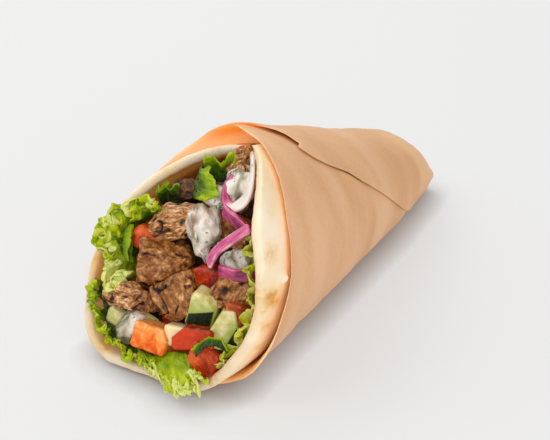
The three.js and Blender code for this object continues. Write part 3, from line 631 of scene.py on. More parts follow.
body = add(
    tree,
    "BsdfPrincipled",
    {
        "Base Color": colour,
        "Roughness": 0.7,
        "Specular IOR Level": 0.25,
        "Subsurface Weight": 0.25,
        "Subsurface Radius": (1.0, 0.8, 0.55),
        "Subsurface Scale": 0.002,
        "Normal": skin,
        "Emission Color": painted_glow_tint,
        "Emission Strength": 0.22,
    },
)
through = add(tree, "BsdfTranslucent", {"Color": "ffdcae", "Normal": skin})
passing = add(tree, "MapRange", {0: inner, 3: 0.06, 4: 0.4})
both = add(tree, "MixShader", {0: passing, 1: body, 2: through})
add(tree, "OutputMaterial", {"Surface": both})

band, side, from_rim, toasted = bread_body()
shares = {"inside": [side], "from_rim": [from_rim], "toast": [toasted]}
bread = piece("rolled_flatbread", [band], shares)
stands_for(bread, "flatbread", flatbread_dough)

# ---------------------------------------------------------------- packed filling
# Chopped beef and salad packed behind the pieces that show at the mouth, out to the
# bread all round. Only its lumpy front is seen: in the gaps between those pieces, and as a
# crescent along the far side of the mouth.
MOUTH_CENTRE = np.array([-3.0, -67.0, 38.0])
MOUTH_LEAN, MOUTH_TURN = math.radians(20.6), math.radians(9)
FILLING_HEART = (-2, 38)  # x and z of the middle of its front
FILLING_DEPTH = 17  # how far its front lies behind the mouth's centre
FILLING_TAIL_T, FILLING_TAIL_HEIGHT = 0.86, 18
FILLING_GAP = 0.72  # between the bread and the filling
FRONT_SHARE = 0.45  # of the rings, those that make the front


def filling_body():
    """Rings round the cone from a heart point on the front, out to the bread and back to
    the tail; the front leans back with the mouth, deeper at its far upper side, and is
    roughened into lumps."""
    angle, share = grid_of(0, 360, 200, 0, 1, 120)
    wall = BREAD_THICKNESS + FILLING_GAP
    turned = np.where(angle > BREAD_FIRST_ANGLE, angle - 360, angle)
    inset = bread_inset(turned) + wall
    out = np.clip(share / FRONT_SHARE, 0, 1)
    probe = cone_point(0 * angle + 0.12, angle, inset + 2, 6.0)
    right, _, up = np.moveaxis(probe - MOUTH_CENTRE, -1, 0)
    slope = 0.55 * up - math.tan(MOUTH_TURN) * right
    front_y = MOUTH_CENTRE[1] + FILLING_DEPTH + slope * out + hump(angle, (9, 145, 34)) * out**2
    back_t = np.clip((share - FRONT_SHARE) / (1 - FRONT_SHARE), 0, 1)
    front_t = (front_y - CONE_MOUTH_Y) / CONE_LENGTH
    t = front_t + (FILLING_TAIL_T - front_t) * back_t
    rim = cone_point(t, angle, inset + 0.8, BREAD_INSET + wall)
    heart = np.stack([0 * t + FILLING_HEART[0], rim[..., 1], 0 * t + FILLING_HEART[1]], -1)
    body = heart + (rim - heart) * out[..., None]
    lumps = 2.2 * layered(body, 9, 41) - np.abs(noise(body, 4, 44))
    body[..., 1] -= lumps * (1 - out**6)
    close = smooth(back_t * 30 - 29)[..., None]
    tail_y = CONE_MOUTH_Y + CONE_LENGTH * FILLING_TAIL_T
    return body * (1 - close) + np.array([CONE_DRIFT, tail_y, FILLING_TAIL_HEIGHT]) * close


packed, tree = new_material("chopped_beef_and_salad")
# Moist chopped meat and leaf in two painted copies: dark browns and greens as painted
# shade, and lighter tan and green bits as painted light on the +X side.
spot = add(tree, "TexCoord", out="Object")
bits = add(
    tree,
    "TexNoise",
    {"Vector": spot, "Scale": 210.0, "Detail": 6.0, "Roughness": 0.7, "Distortion": 1.0},
)
painted_shade_tint = add(
    tree,
    "ValToRGB",
    {"Fac": bits},
    stops=[(0.34, "22120a"), (0.46, "4c2a12"), (0.56, "6a3f1c"), (0.7, "363c12")],
)
painted_lit_tint = add(
    tree,
    "ValToRGB",
    {"Fac": bits},
    stops=[(0.34, "3c2010"), (0.46, "85542c"), (0.56, "b07c48"), (0.7, "76842e")],
)
painted_light = add(tree, "Attribute", out="Fac", attribute_name="painted_light")
colour = add(tree, "MixRGB", {"Fac": painted_light, "Color1": painted_shade_tint, "Color2": painted_lit_tint})
wet = add(tree, "TexNoise", {"Vector": spot, "Scale": 500.0, "Detail": 4.0})
rough_skin = add(tree, "Bump", {"Height": wet, "Strength": 0.8, "Distance": 0.0012})
shader = add(
    tree,
    "BsdfPrincipled",
    {"Base Color": colour, "Roughness": 0.5, "Normal": rough_skin},
)
add(tree, "OutputMaterial", {"Surface": shader})

lumps = filling_body()
# Painted light: the lighter copy takes over towards +X.
painted_light = smooth((lumps[..., 0] - 8) / 9)
filling = piece("packed_filling", [lumps], {"painted_light": [painted_light]})
stands_for(filling, "filling", packed)

# ---------------------------------------------------------------- beef
# Grilled chunks of beef, cut across and along the grain, browned outside. They are laid
# in the mouth one by one; places are in the mouth's frame: across, up and outwards.


def turn_matrix(degrees):
    """Rotation by three angles, about X, then Y, then Z of the piece."""
    a, b, c = np.radians(degrees)
    about_x = np.array([[1, 0, 0], [0, math.cos(a), -math.sin(a)], [0, math.sin(a), math.cos(a)]])
    about_y = np.array([[math.cos(b), 0, math.sin(b)], [0, 1, 0], [-math.sin(b), 0, math.cos(b)]])
    about_z = np.array([[math.cos(c), -math.sin(c), 0], [math.sin(c), math.cos(c), 0], [0, 0, 1]])
    return about_x @ about_y @ about_z


ACROSS = np.array([math.cos(MOUTH_TURN), -math.sin(MOUTH_TURN), 0])
level = math.cos(MOUTH_LEAN)
OUTWARDS = np.array(
    [-math.sin(MOUTH_TURN) * level, -math.cos(MOUTH_TURN) * level, math.sin(MOUTH_LEAN)]
)
UPWARDS = np.cross(OUTWARDS, ACROSS)
MOUTH_AXES = np.stack([ACROSS, UPWARDS, OUTWARDS])


def in_mouth(points, at=(0, 0, 0), turn=(0, 0, 0)):
    """Points of a piece, turned, moved to its place in the mouth's frame and into the wrap's."""
    return (points @ turn_matrix(turn).T + np.array(at)) @ MOUTH_AXES + MOUTH_CENTRE


def block(size, rounding, steps):
    """A box with rounded edges as six square grids, and its outward directions: each point
    is the nearest one of an inner box, plus the rounding along the line between them."""
    line = np.tan(np.linspace(-np.pi / 4, np.pi / 4, steps))
    a, b = np.meshgrid(line, line, indexing="ij")
    one = np.ones_like(a)
    sides = [(one, a, b), (-one, a, b), (a, one, b), (a, -one, b), (a, b, one), (a, b, -one)]
    half = np.array(size) / 2
    cube = np.stack([np.stack(side, -1) for side in sides]) * half
    core = half - min(rounding, half.min())
    inner = np.clip(cube, -core, core)
    out = cube - inner
    out /= np.linalg.norm(out, axis=-1, keepdims=True)
    return inner + out * (half - core).min(), out


def unit(vectors):
    """Vectors scaled to length 1."""
    return vectors / np.maximum(np.linalg.norm(vectors, axis=-1, keepdims=True), 1e-9)


def carved(points, shape, cuts=()):
    """Widens a block along X as Z rises, and narrows it along Y as X rises. Then flattens
    what lies beyond each cutting plane, a direction and a distance, and rounds the new edge
    by about a third of a millimetre."""
    size, taper = shape["size"], shape.get("taper", 0)
    x = points[..., 0] * (1 + taper * points[..., 2] / size[2])
    y = points[..., 1] * (1 - 0.6 * taper * x / size[0])
    points = np.stack([x, y, points[..., 2]], -1)
    for direction, distance in [*shape.get("cuts", ()), *cuts]:
        away = unit(np.array(direction, float))
        over = points @ away - distance
        over = (over + np.sqrt(over**2 + CUT_ROUNDING**2)) / 2
        points = points - over[..., None] * away
    return points


def serve(names, number, shape, points, values, material):
    """Lays a block of food in the mouth as one piece. names are the CAD node's and its own,
    and values holds an array for each attribute that its material reads."""
    node, title = names
    sides = list(in_mouth(points, shape["at"], shape["turn"]))
    made = piece(f"{title}_{number}", sides, {key: list(sets) for key, sets in values.items()})
    stands_for(made, f"{node}_{number}", material)


CUT_ROUNDING = math.sqrt(0.1)
BEEF_STEPS = 62  # points along each side of a chunk
BEEF = [  # grain: the fibres' direction, tone: 0 lean to 1 crusty
    dict(size=(19.5, 11, 14), at=(-13.8, 9.9, -5.6), turn=(10, 20, 20), round=2, taper=0.4,
         grain=8, fibre=1.1, crust=0.3, tone=0.05, cuts=[((-0.5, 0.8, 0.3), 5.5)]),
    dict(size=(20, 14.5, 17), at=(-12, -3.8, -2.2), turn=(0, 25, 4), round=5, taper=0.1, grain=30,
         fibre=0.3, crust=1.0, tone=0.8, carved=0.88, charred=0.3, craggy=1.7),
    dict(size=(19.5, 10.4, 14), at=(-19.2, -18.3, 1), turn=(0, 10, -2), round=3.2, taper=-0.15,
         grain=15, fibre=1.2, crust=0.9, tone=0.25, cuts=[((-0.7, 0.7, 0.3), 8.5)]),
    dict(size=(14, 13.5, 14), at=(-0.4, -11.2, -2.4), turn=(5, 20, 40), round=1.6, taper=0.1,
         grain=75, fibre=0.6, crust=0.4, tone=0.6),
    dict(size=(14, 12, 12), at=(15.3, -4.8, -9), turn=(8, 30, 12), round=2.2, taper=0.2, grain=60,
         fibre=0.8, crust=0.7, tone=0.55),
    dict(size=(12, 11, 12), at=(1.5, 34.6, -16.5), turn=(20, 10, 30), round=3, taper=-0.1,
         grain=40, fibre=0.7, crust=0.5, tone=0.1),
    dict(size=(13, 11, 12), at=(6.5, 14, -14), turn=(0, 15, -20), round=2.5, taper=0.15, grain=10,
         fibre=0.6, crust=1.0, tone=0.6),
    dict(size=(10, 9, 10), at=(-13.5, -20.5, -9), turn=(10, 0, 20), round=2, grain=0, fibre=0.8,
         crust=0.8, tone=0.4),
    # Painted shade: this chunk lies deep in the mouth, so the key after its tone darkens its
    # colour.
    dict(size=(9, 9, 10), at=(-20.5, 18, -16), turn=(0, 20, 10), round=2, grain=20, fibre=0.8,
         crust=0.6, tone=0.9, painted_shade=0.35),
]


def bundles(points, size, seed):
    """Rounded swellings, 0 to 1, with sharp grooves where a random field crosses zero."""
    return np.clip(np.abs(noise(points, size, seed)) * 2.4, 0, 1)


def ridges(points, size, seed):
    """The reverse of bundles(): sharp crests, 0 to 1, size millimetres apart."""
    return 1 - bundles(points, size, seed)


def knife_cuts(shape, seed):
    """Six random planes that each take off a corner of the block."""
    cuts = unit(np.random.default_rng(seed).normal(size=(6, 3)))
    reach = np.abs(cuts) @ (np.array(shape["size"]) / 2) - 0.72 * shape["round"]
    return list(zip(cuts, shape.get("carved", 0.83) * reach))


def beef_chunk(number, shape):
    """A rounded block with a few flat cuts, pushed in and out by plates of meat with steps
    between them, bundles of fibres along the grain, crumbs of crust, and a few cracks."""
    seed = 100 * number
    base, out = block(shape["size"], shape["round"], BEEF_STEPS)
    wobble = 0.5 * noise(base, 4, seed + 3)[..., None] * np.array([0, 1, 1])
    grained = (base + wobble) @ turn_matrix((0, 0, shape["grain"]))
    craggy = shape.get("craggy", 1)
    plates = 0.4 * np.tanh(3 * noise(base, 7, seed))
    plates = craggy * (plates + 0.24 * np.tanh(4 * noise(base, 3.2, seed + 1)))
    drawn = grained * (0.2, 1, 1)
    strands = bundles(drawn, 1.5, seed + 10) + 0.6 * bundles(drawn, 0.8, seed + 11) - 0.8
    crumbs = layered(base, 2.6, seed + 20) + 0.4 * bundles(base, 0.9, seed + 21) - 0.2
    cracks = ridges(grained * (0.6, 1, 1), 4, seed + 30) ** 6
    cracks = craggy * smooth(noise(base, 6, seed + 31) * 3 - 0.1) * cracks
    relief = 0.13 * shape["fibre"] * strands + 0.26 * shape["crust"] * crumbs - cracks
    points = carved(base, shape, knife_cuts(shape, seed)) + out * (plates + relief)[..., None]
    tone = shape["tone"] + 0.35 * noise(base, 5, seed + 40)
    char = shape.get("charred", 0.45) * smooth(noise(base, 3.4, seed + 41) * 3 - 0.8)
    # Colour height: the relief, darker in grooves and cracks as painted shade and lighter on ridges
    # as painted light, less the painted shade of a chunk deep in the mouth, less real charred
    # patches.
    relief_char_and_painted_shade = relief - shape.get("painted_shade", 0) - char
    values = {"grained": grained + 60 * number, "height": relief_char_and_painted_shade, "tone": tone}
    serve(("beef", "beef_chunk"), number, shape, points, values, grilled_beef)


grilled_beef, tree = new_material("grilled_beef")
# Seared beef: grey-brown cut faces with fine parallel fibres and golden to dark crust,
# its colour painted darker in grooves and cracks and lighter on ridges as painted shade and
# light, and a thin film of juice that shines.
grain = add(tree, "Attribute", out="Vector", attribute_name="grained")
height = add(tree, "Attribute", out="Fac", attribute_name="height")
tone = add(tree, "Attribute", out="Fac", attribute_name="tone")
drawn = add(tree, "Mapping", {"Vector": grain, "Scale": (0.42, 1.0, 1.0)})
threads = add(tree, "TexNoise", {"Vector": drawn, "Scale": 1.2, "Detail": 6.0, "Roughness": 0.72})
crumb = add(tree, "TexNoise", {"Vector": grain, "Scale": 0.6, "Detail": 6.0, "Roughness": 0.68})
even = add(tree, "MixRGB", {"Fac": tone, "Color1": threads, "Color2": crumb}, use_clamp=True)
# Painted shade and light: low relief darkens the colour and high relief lightens it.
shade = add(tree, "Math", {0: height, 1: 0.38, 2: even}, operation="MULTIPLY_ADD")
lean = add(
    tree,
    "ValToRGB",
    {"Fac": shade},
    stops=[(0.3, "180902"), (0.41, "7c481c"), (0.52, "bd844c"), (0.63, "f4cea2")],
)
crust = add(
    tree,
    "ValToRGB",
    {"Fac": shade},
    stops=[(0.28, "140600"), (0.4, "5e320a"), (0.54, "935414"), (0.7, "d2913a")],
)
flesh = add(tree, "MixRGB", {"Fac": tone, "Color1": lean, "Color2": crust}, use_clamp=True)
relief = add(tree, "Bump", {"Height": even, "Strength": 0.8, "Distance": 0.0005})
gloss = add(tree, "MapRange", {0: crumb, 1: 0.35, 2: 0.65, 3: 0.28, 4: 0.6})
shader = add(
    tree,
    "BsdfPrincipled",
    {
        "Base Color": flesh,
        "Roughness": gloss,
        "Specular IOR Level": 0.35,
        "Subsurface Weight": 0.08,
        "Subsurface Radius": (1.0, 0.4, 0.2),
        "Subsurface Scale": 0.0008,
        "Normal": relief,
    },
)
add(tree, "OutputMaterial", {"Surface": shader})

for number, shape in enumerate(BEEF, 1):
    beef_chunk(number, shape)

# ---------------------------------------------------------------- tomato
# Diced ripe tomato: most pieces keep a strip of glossy red skin on one face, and their
# cut faces are orange-pink flesh, paler towards the core.
TOMATO_STEPS = 36
TOMATO = [  # skin: the direction of the skinned side, ripe: 0 orange to 1 red
    dict(size=(10.5, 9, 9), at=(-19.8, 1.9, -0.6), turn=(0, 30, -10), round=4, skin=(0, 0, -1),
         ripe=0.96),
    dict(size=(12, 9, 9), at=(4.2, -4.2, -8), turn=(0, 10, 8), round=2, skin=(1, 0.2, 0.4),
         ripe=1.0, cuts=[((-0.6, 0.8, 0.2), 5)]),
    dict(size=(12.8, 8.8, 11), at=(-3.8, -27.4, 2), turn=(-6, 18, 2), round=1.0, skin=(0, -1, 0),
         ripe=0.0, cuts=[((0.8, 0.5, 0.3), 7), ((-0.9, -0.5, 0), 7.4)]),
    dict(size=(13.6, 7.5, 9), at=(12, -21.3, -0.5), turn=(4, 12, 14), round=1.0, taper=0.4,
         skin=(0.1, -0.2, 1), ripe=0.85, cuts=[((-0.6, 0.8, 0.15), 5.2)]),
    dict(size=(10.5, 10.5, 9.5), at=(17.8, -27.2, -0.3), turn=(0, 14, -14), round=0.8,
         skin=(0.9, -0.4, 0), ripe=0.95, cuts=[((0.5, -0.85, 0), 4.6), ((-0.8, -0.4, 0.2), 5.4)]),
    dict(size=(7, 9.5, 9), at=(21.5, -11.3, -7), turn=(0, 10, 6), round=1.2, skin=(1, 0.3, 0.2),
         ripe=0.7),
    dict(size=(9, 6, 8), at=(-4, -23, -7.5), turn=(0, 0, 4), round=1.3, skin=(0, 1, 0), ripe=1.0),
]


def under_face(base, shape, key):
    """How deep each point lies under a block's outer face, and that face's direction."""
    facing = unit(np.array(shape[key], float))
    return (np.abs(facing) * np.array(shape["size"]) / 2).sum() - base @ facing, facing


def tomato_dice(number, shape):
    """A rounded block with flat cuts and gentle waves; skin is 1 on the fruit's outside."""
    seed = 3000 + 100 * number
    base, out = block(shape["size"], shape["round"], TOMATO_STEPS)
    height = 0.24 * layered(base, 6, seed, 2) + 0.12 * noise(base, 1.7, seed + 5)
    points = carved(base, shape) + out * height[..., None]
    deep, facing = under_face(base, shape, "skin")
    skin = smooth(((out @ facing) - 0.8) / 0.1)
    ripe = np.full(skin.shape, shape["ripe"])
    values = {"local": base + 20 * number, "skin": skin, "deep": deep, "ripe": ripe}
    serve(("tomato", "tomato_dice"), number, shape, points, values, ripe_tomato)


ripe_tomato, tree = new_material("ripe_tomato")
# Wet tomato: clear red skin with a hard shine, red flesh under it that turns orange-pink
# and fibrous towards the core, and light that spreads inside it.
skin, ripe, deep = (
    add(tree, "Attribute", out="Fac", attribute_name=name)
    for name in ("skin", "ripe", "deep")
)
local = add(tree, "Attribute", out="Vector", attribute_name="local")
fibres = add(
    tree,
    "TexNoise",
    {"Vector": local, "Scale": 0.32, "Detail": 5.0, "Roughness": 0.65, "Distortion": 0.6},
)
core = add(tree, "MapRange", {0: deep, 1: 1.0, 2: 8.0, 3: -0.12, 4: 0.14})
level = add(tree, "Math", {0: core, 1: fibres}, operation="ADD")
pale = add(
    tree,
    "ValToRGB",
    {"Fac": level},
    stops=[(0.28, "cf4a08"), (0.46, "e8701a"), (0.62, "f39444"), (0.75, "fab878")],
)
rich = add(
    tree,
    "ValToRGB",
    {"Fac": level},
    stops=[(0.3, "4a0601"), (0.45, "821502"), (0.6, "ac2c08"), (0.72, "cf551a")],
)
flesh = add(tree, "MixRGB", {"Fac": ripe, "Color1": pale, "Color2": rich})
peeled = add(tree, "MapRange", {0: skin, 3: 0.0, 4: 0.55})
colour = add(tree, "MixRGB", {"Fac": peeled, "Color1": flesh, "Color2": "ea4010"})
cells = add(tree, "TexNoise", {"Vector": local, "Scale": 1.3, "Detail": 4.0})
relief = add(tree, "Bump", {"Height": cells, "Strength": 0.45, "Distance": 0.0005})
gloss = add(tree, "MapRange", {0: skin, 3: 0.2, 4: 0.1})
shader = add(
    tree,
    "BsdfPrincipled",
    {
        "Base Color": colour,
        "Roughness": gloss,
        "Specular IOR Level": 0.3,
        "Subsurface Weight": 0.3,
        "Subsurface Radius": (1.0, 0.3, 0.1),
        "Subsurface Scale": 0.002,
        "Normal": relief,
    },
)
add(tree, "OutputMaterial", {"Surface": shader})

for number, shape in enumerate(TOMATO, 1):
    tomato_dice(number, shape)

# ---------------------------------------------------------------- cucumber
# Chopped cucumber, cut from quartered slices: pale wet flesh, a greener band under the
# peel and dark green peel on the outer side.
CUCUMBER_STEPS = 40
CUCUMBER = [  # strip: the direction across the peel's strip, and its two borders
    dict(size=(9.5, 12.5, 11), at=(9.4, -12.5, -4), turn=(14, 24, -10), round=1.6, peel=(0, 0, 1),
         strip=((-0.45, 0.9, 0), -4.6, 0.6), cuts=[((0.6, 0.7, 0.45), 6.6)]),
    dict(size=(10, 13, 9), at=(19, -16, -3.5), turn=(0, 30, 24), round=1.2, taper=0.4,
         peel=(0, 0, 1), strip=((0.8, -0.6, 0), 3.4, 20),
         cuts=[((-0.75, 0.7, 0.1), 3.6), ((-0.5, -0.9, 0), 6)]),
    dict(size=(11, 6.5, 9), at=(-13.2, -25, -4.5), turn=(0, 16, -12), round=1.6, peel=(0.3, 1, 0)),
    dict(size=(7.5, 7, 7), at=(3.6, -23.8, 0), turn=(0, 16, 10), round=1.2, peel=(0, -1, -0.4),
         cream=0.8),
    dict(size=(8.5, 6.5, 7), at=(-23.5, -27.5, -0.5), turn=(0, 14, -8), round=1.8,
         peel=(-1, 0.4, 0.2)),
]


def cucumber_piece(number, shape):
    """A rounded block with flat cuts and faint waves. peel is 1 on the fruit's outside, or
    on a strip of it, and depth tells how far under the peel a point lies."""
    seed = 5000 + 100 * number
    base, out = block(shape["size"], shape["round"], CUCUMBER_STEPS)
    height = 0.2 * layered(base, 6, seed, 2) + 0.05 * noise(base, 1.2, seed + 5)
    points = carved(base, shape) + out * height[..., None]
    depth, facing = under_face(base, shape, "peel")
    peel = smooth(((out @ facing) - 0.75) / 0.06)
    if "strip" in shape:
        along_strip, low, high = shape["strip"]
        place = base @ unit(np.array(along_strip, float))
        peel = peel * smooth((place - low) / 0.35 + 0.5) * smooth((high - place) / 0.35 + 0.5)
        depth = depth + np.maximum(place - high, 0) * 0.6 + np.maximum(low - place, 0)
    cream = np.full(peel.shape, shape.get("cream", 0.0))
    values = {"local": base + 20 * number, "peel": peel, "depth": depth, "cream": cream}
    serve(("cucumber", "cucumber_chop"), number, shape, points, values, fresh_cucumber)


fresh_cucumber, tree = new_material("fresh_cucumber")
# Wet cucumber: cool translucent flesh that turns greener within 3 mm of the peel, and
# near-black green peel with a waxy shine.
peel, depth, cream = (
    add(tree, "Attribute", out="Fac", attribute_name=name)
    for name in ("peel", "depth", "cream")
)
local = add(tree, "Attribute", out="Vector", attribute_name="local")
soft = add(tree, "TexNoise", {"Vector": local, "Scale": 0.4, "Detail": 4.0})
heart = add(
    tree, "ValToRGB", {"Fac": soft}, stops=[(0.3, "b4ae5a"), (0.5, "d4cb88"), (0.7, "ebe4ba")]
)
under = add(tree, "MapRange", {0: depth, 1: 0.3, 2: 3.6, 3: 0.8, 4: 0.0})
flesh = add(tree, "MixRGB", {"Fac": under, "Color1": heart, "Color2": "9aaa34"})
seeded = add(tree, "MixRGB", {"Fac": cream, "Color1": flesh, "Color2": "f6dcaa"})
streak = add(tree, "TexNoise", {"Vector": local, "Scale": 0.9, "Detail": 2.0})
rind = add(tree, "ValToRGB", {"Fac": streak}, stops=[(0.35, "0c1505"), (0.65, "222e14")])
colour = add(tree, "MixRGB", {"Fac": peel, "Color1": seeded, "Color2": rind})
shine = add(tree, "MapRange", {0: peel, 3: 0.6, 4: 0.2})
waxy = add(tree, "MapRange", {0: peel, 3: 0.2, 4: 0.4})
cells = add(tree, "TexNoise", {"Vector": local, "Scale": 1.5, "Detail": 4.0})
relief = add(tree, "Bump", {"Height": cells, "Strength": 0.3, "Distance": 0.0004})
shader = add(
    tree,
    "BsdfPrincipled",
    {
        "Base Color": colour,
        "Roughness": waxy,
        "Specular IOR Level": shine,
        "Subsurface Weight": 0.35,
        "Subsurface Radius": (0.8, 1.0, 0.4),
        "Subsurface Scale": 0.001,
        "Normal": relief,
    },
)
add(tree, "OutputMaterial", {"Surface": shader})

for number, shape in enumerate(CUCUMBER, 1):
    cucumber_piece(number, shape)

# ---------------------------------------------------------------- red onion
# Slices of red onion: curved strips, magenta on the outer side of each layer and almost
# white on the inner one, with a wet satin skin.
ONION = [  # stain: the magenta at the path's start and end, skin: how much more at its sides
    dict(path=[(7, 39.5, -12), (10.5, 32, -10), (11, 25.5, -9), (7.6, 21.2, -7.5), (3.6, 22.8, -8),
               (2, 27, -9), (2, 31, -11)],
         width=[2.5, 7, 8, 4.6, 3, 2.8, 2], thickness=1.5, tilt=40, stain=(-0.05, 0.85), skin=0.2),
    dict(path=[(5.5, 20, -5.5), (12, 18, -5.5), (18.5, 15.5, -6.5)], width=[4.8, 4.8],
         thickness=1.7, tilt=25, stain=(0.75, 0.85), skin=-0.45),
    dict(path=[(20, 18.5, -3.5), (14, 12, -2), (10, 7, -1.5), (7.5, 1.5, -2.5)], width=[4, 3.8],
         thickness=1.7, tilt=20, stain=(0.6, 0.55), skin=-0.3),
    dict(path=[(11.3, 1.2, -3.5), (18.6, 2, -3.5), (24.4, 4.5, -6)], width=[4.2, 4.2],
         thickness=1.6, tilt=15, stain=(0.78, 1.0), skin=-0.3),
]


def curve(points, s):
    """Points at shares s of the smooth line through a few places: a cubic between each
    two, whose direction at a place is that from its last to its next neighbour."""
    places = np.array(points, float)
    stations = np.arange(len(places)) / (len(places) - 1)
    return np.stack([along(np.stack([stations, axis], 1), s) for axis in places.T], -1)


def onion_slice(number, shape):
    """A flattened oval carried along a path, its flat side tilted round the path."""
    s, around = grid_of(0, 1, 90, 0, 2 * np.pi, 33)
    middle = curve(shape["path"], s)
    ahead = unit(np.gradient(middle, axis=0))
    level = unit(np.cross(np.array([0, 0, 1.0]), ahead))
    steep = np.cross(ahead, level)
    cos, sin = math.cos(math.radians(shape["tilt"])), math.sin(math.radians(shape["tilt"]))
    flat, deep = level * cos + steep * sin, steep * cos - level * sin
    wide, high = (np.sign(turn) * np.abs(turn) ** 0.6 for turn in (np.cos(around), np.sin(around)))
    ends = np.sqrt(np.clip(np.minimum(s, 1 - s) * 30, 0, 1))
    swell = ends * (1 + 0.1 * noise(middle, 5, 60 + number))
    stations = np.linspace(0, 1, len(shape["width"]))
    width = along(np.stack([stations, shape["width"]], 1), s)
    points = middle + flat * (wide * swell * width / 2)[..., None]
    points = points + deep * (high * swell * shape["thickness"] / 2)[..., None]
    first, last = shape["stain"]
    stain = first + (last - first) * smooth((s - 0.4) / 0.25)
    rind = shape["skin"] * (np.abs(wide) ** 3 - 0.4) * np.where(high > 0, 1, 0.4)
    stain = stain + rind - 0.12 * high
    run = np.stack([s * 18, wide * width / 2 + 9 * number, high], -1)
    made = piece(f"red_onion_slice_{number}", [in_mouth(points)], {"run": [run], "stain": [stain]})
    stands_for(made, f"onion_{number}", red_onion)


red_onion, tree = new_material("raw_red_onion")
# Raw onion: watery layers with a magenta outer skin that fades to white inside, faint
# lengthwise veins and a wet shine.
run = add(tree, "Attribute", out="Vector", attribute_name="run")
depth = add(tree, "Attribute", out="Fac", attribute_name="stain")
drawn = add(tree, "Mapping", {"Vector": run, "Scale": (0.16, 1.0, 1.0)})
veins = add(tree, "TexNoise", {"Vector": drawn, "Scale": 1.6, "Detail": 3.0})
patch = add(tree, "TexNoise", {"Vector": run, "Scale": 0.25, "Detail": 2.0})
both = add(tree, "Math", {0: veins, 1: patch}, operation="ADD")
vary = add(tree, "MapRange", {0: both, 1: 0.7, 2: 1.3, 3: -0.22, 4: 0.22})
mixed = add(tree, "Math", {0: depth, 1: vary}, operation="ADD")
stain = add(
    tree,
    "ValToRGB",
    {"Fac": mixed},
    stops=[(0.0, "f7efe6"), (0.2, "f0d4cc"), (0.42, "da7ca4"), (0.64, "c03c74"), (0.98, "6a1e40")],
)
shader = add(
    tree,
    "BsdfPrincipled",
    {
        "Base Color": stain,
        "Roughness": 0.24,
        "Specular IOR Level": 0.55,
        "Subsurface Weight": 0.35,
        "Subsurface Radius": (1.0, 0.5, 0.8),
        "Subsurface Scale": 0.0012,
    },
)
add(tree, "OutputMaterial", {"Surface": shader})

for number, shape in enumerate(ONION, 1):
    onion_slice(number, shape)

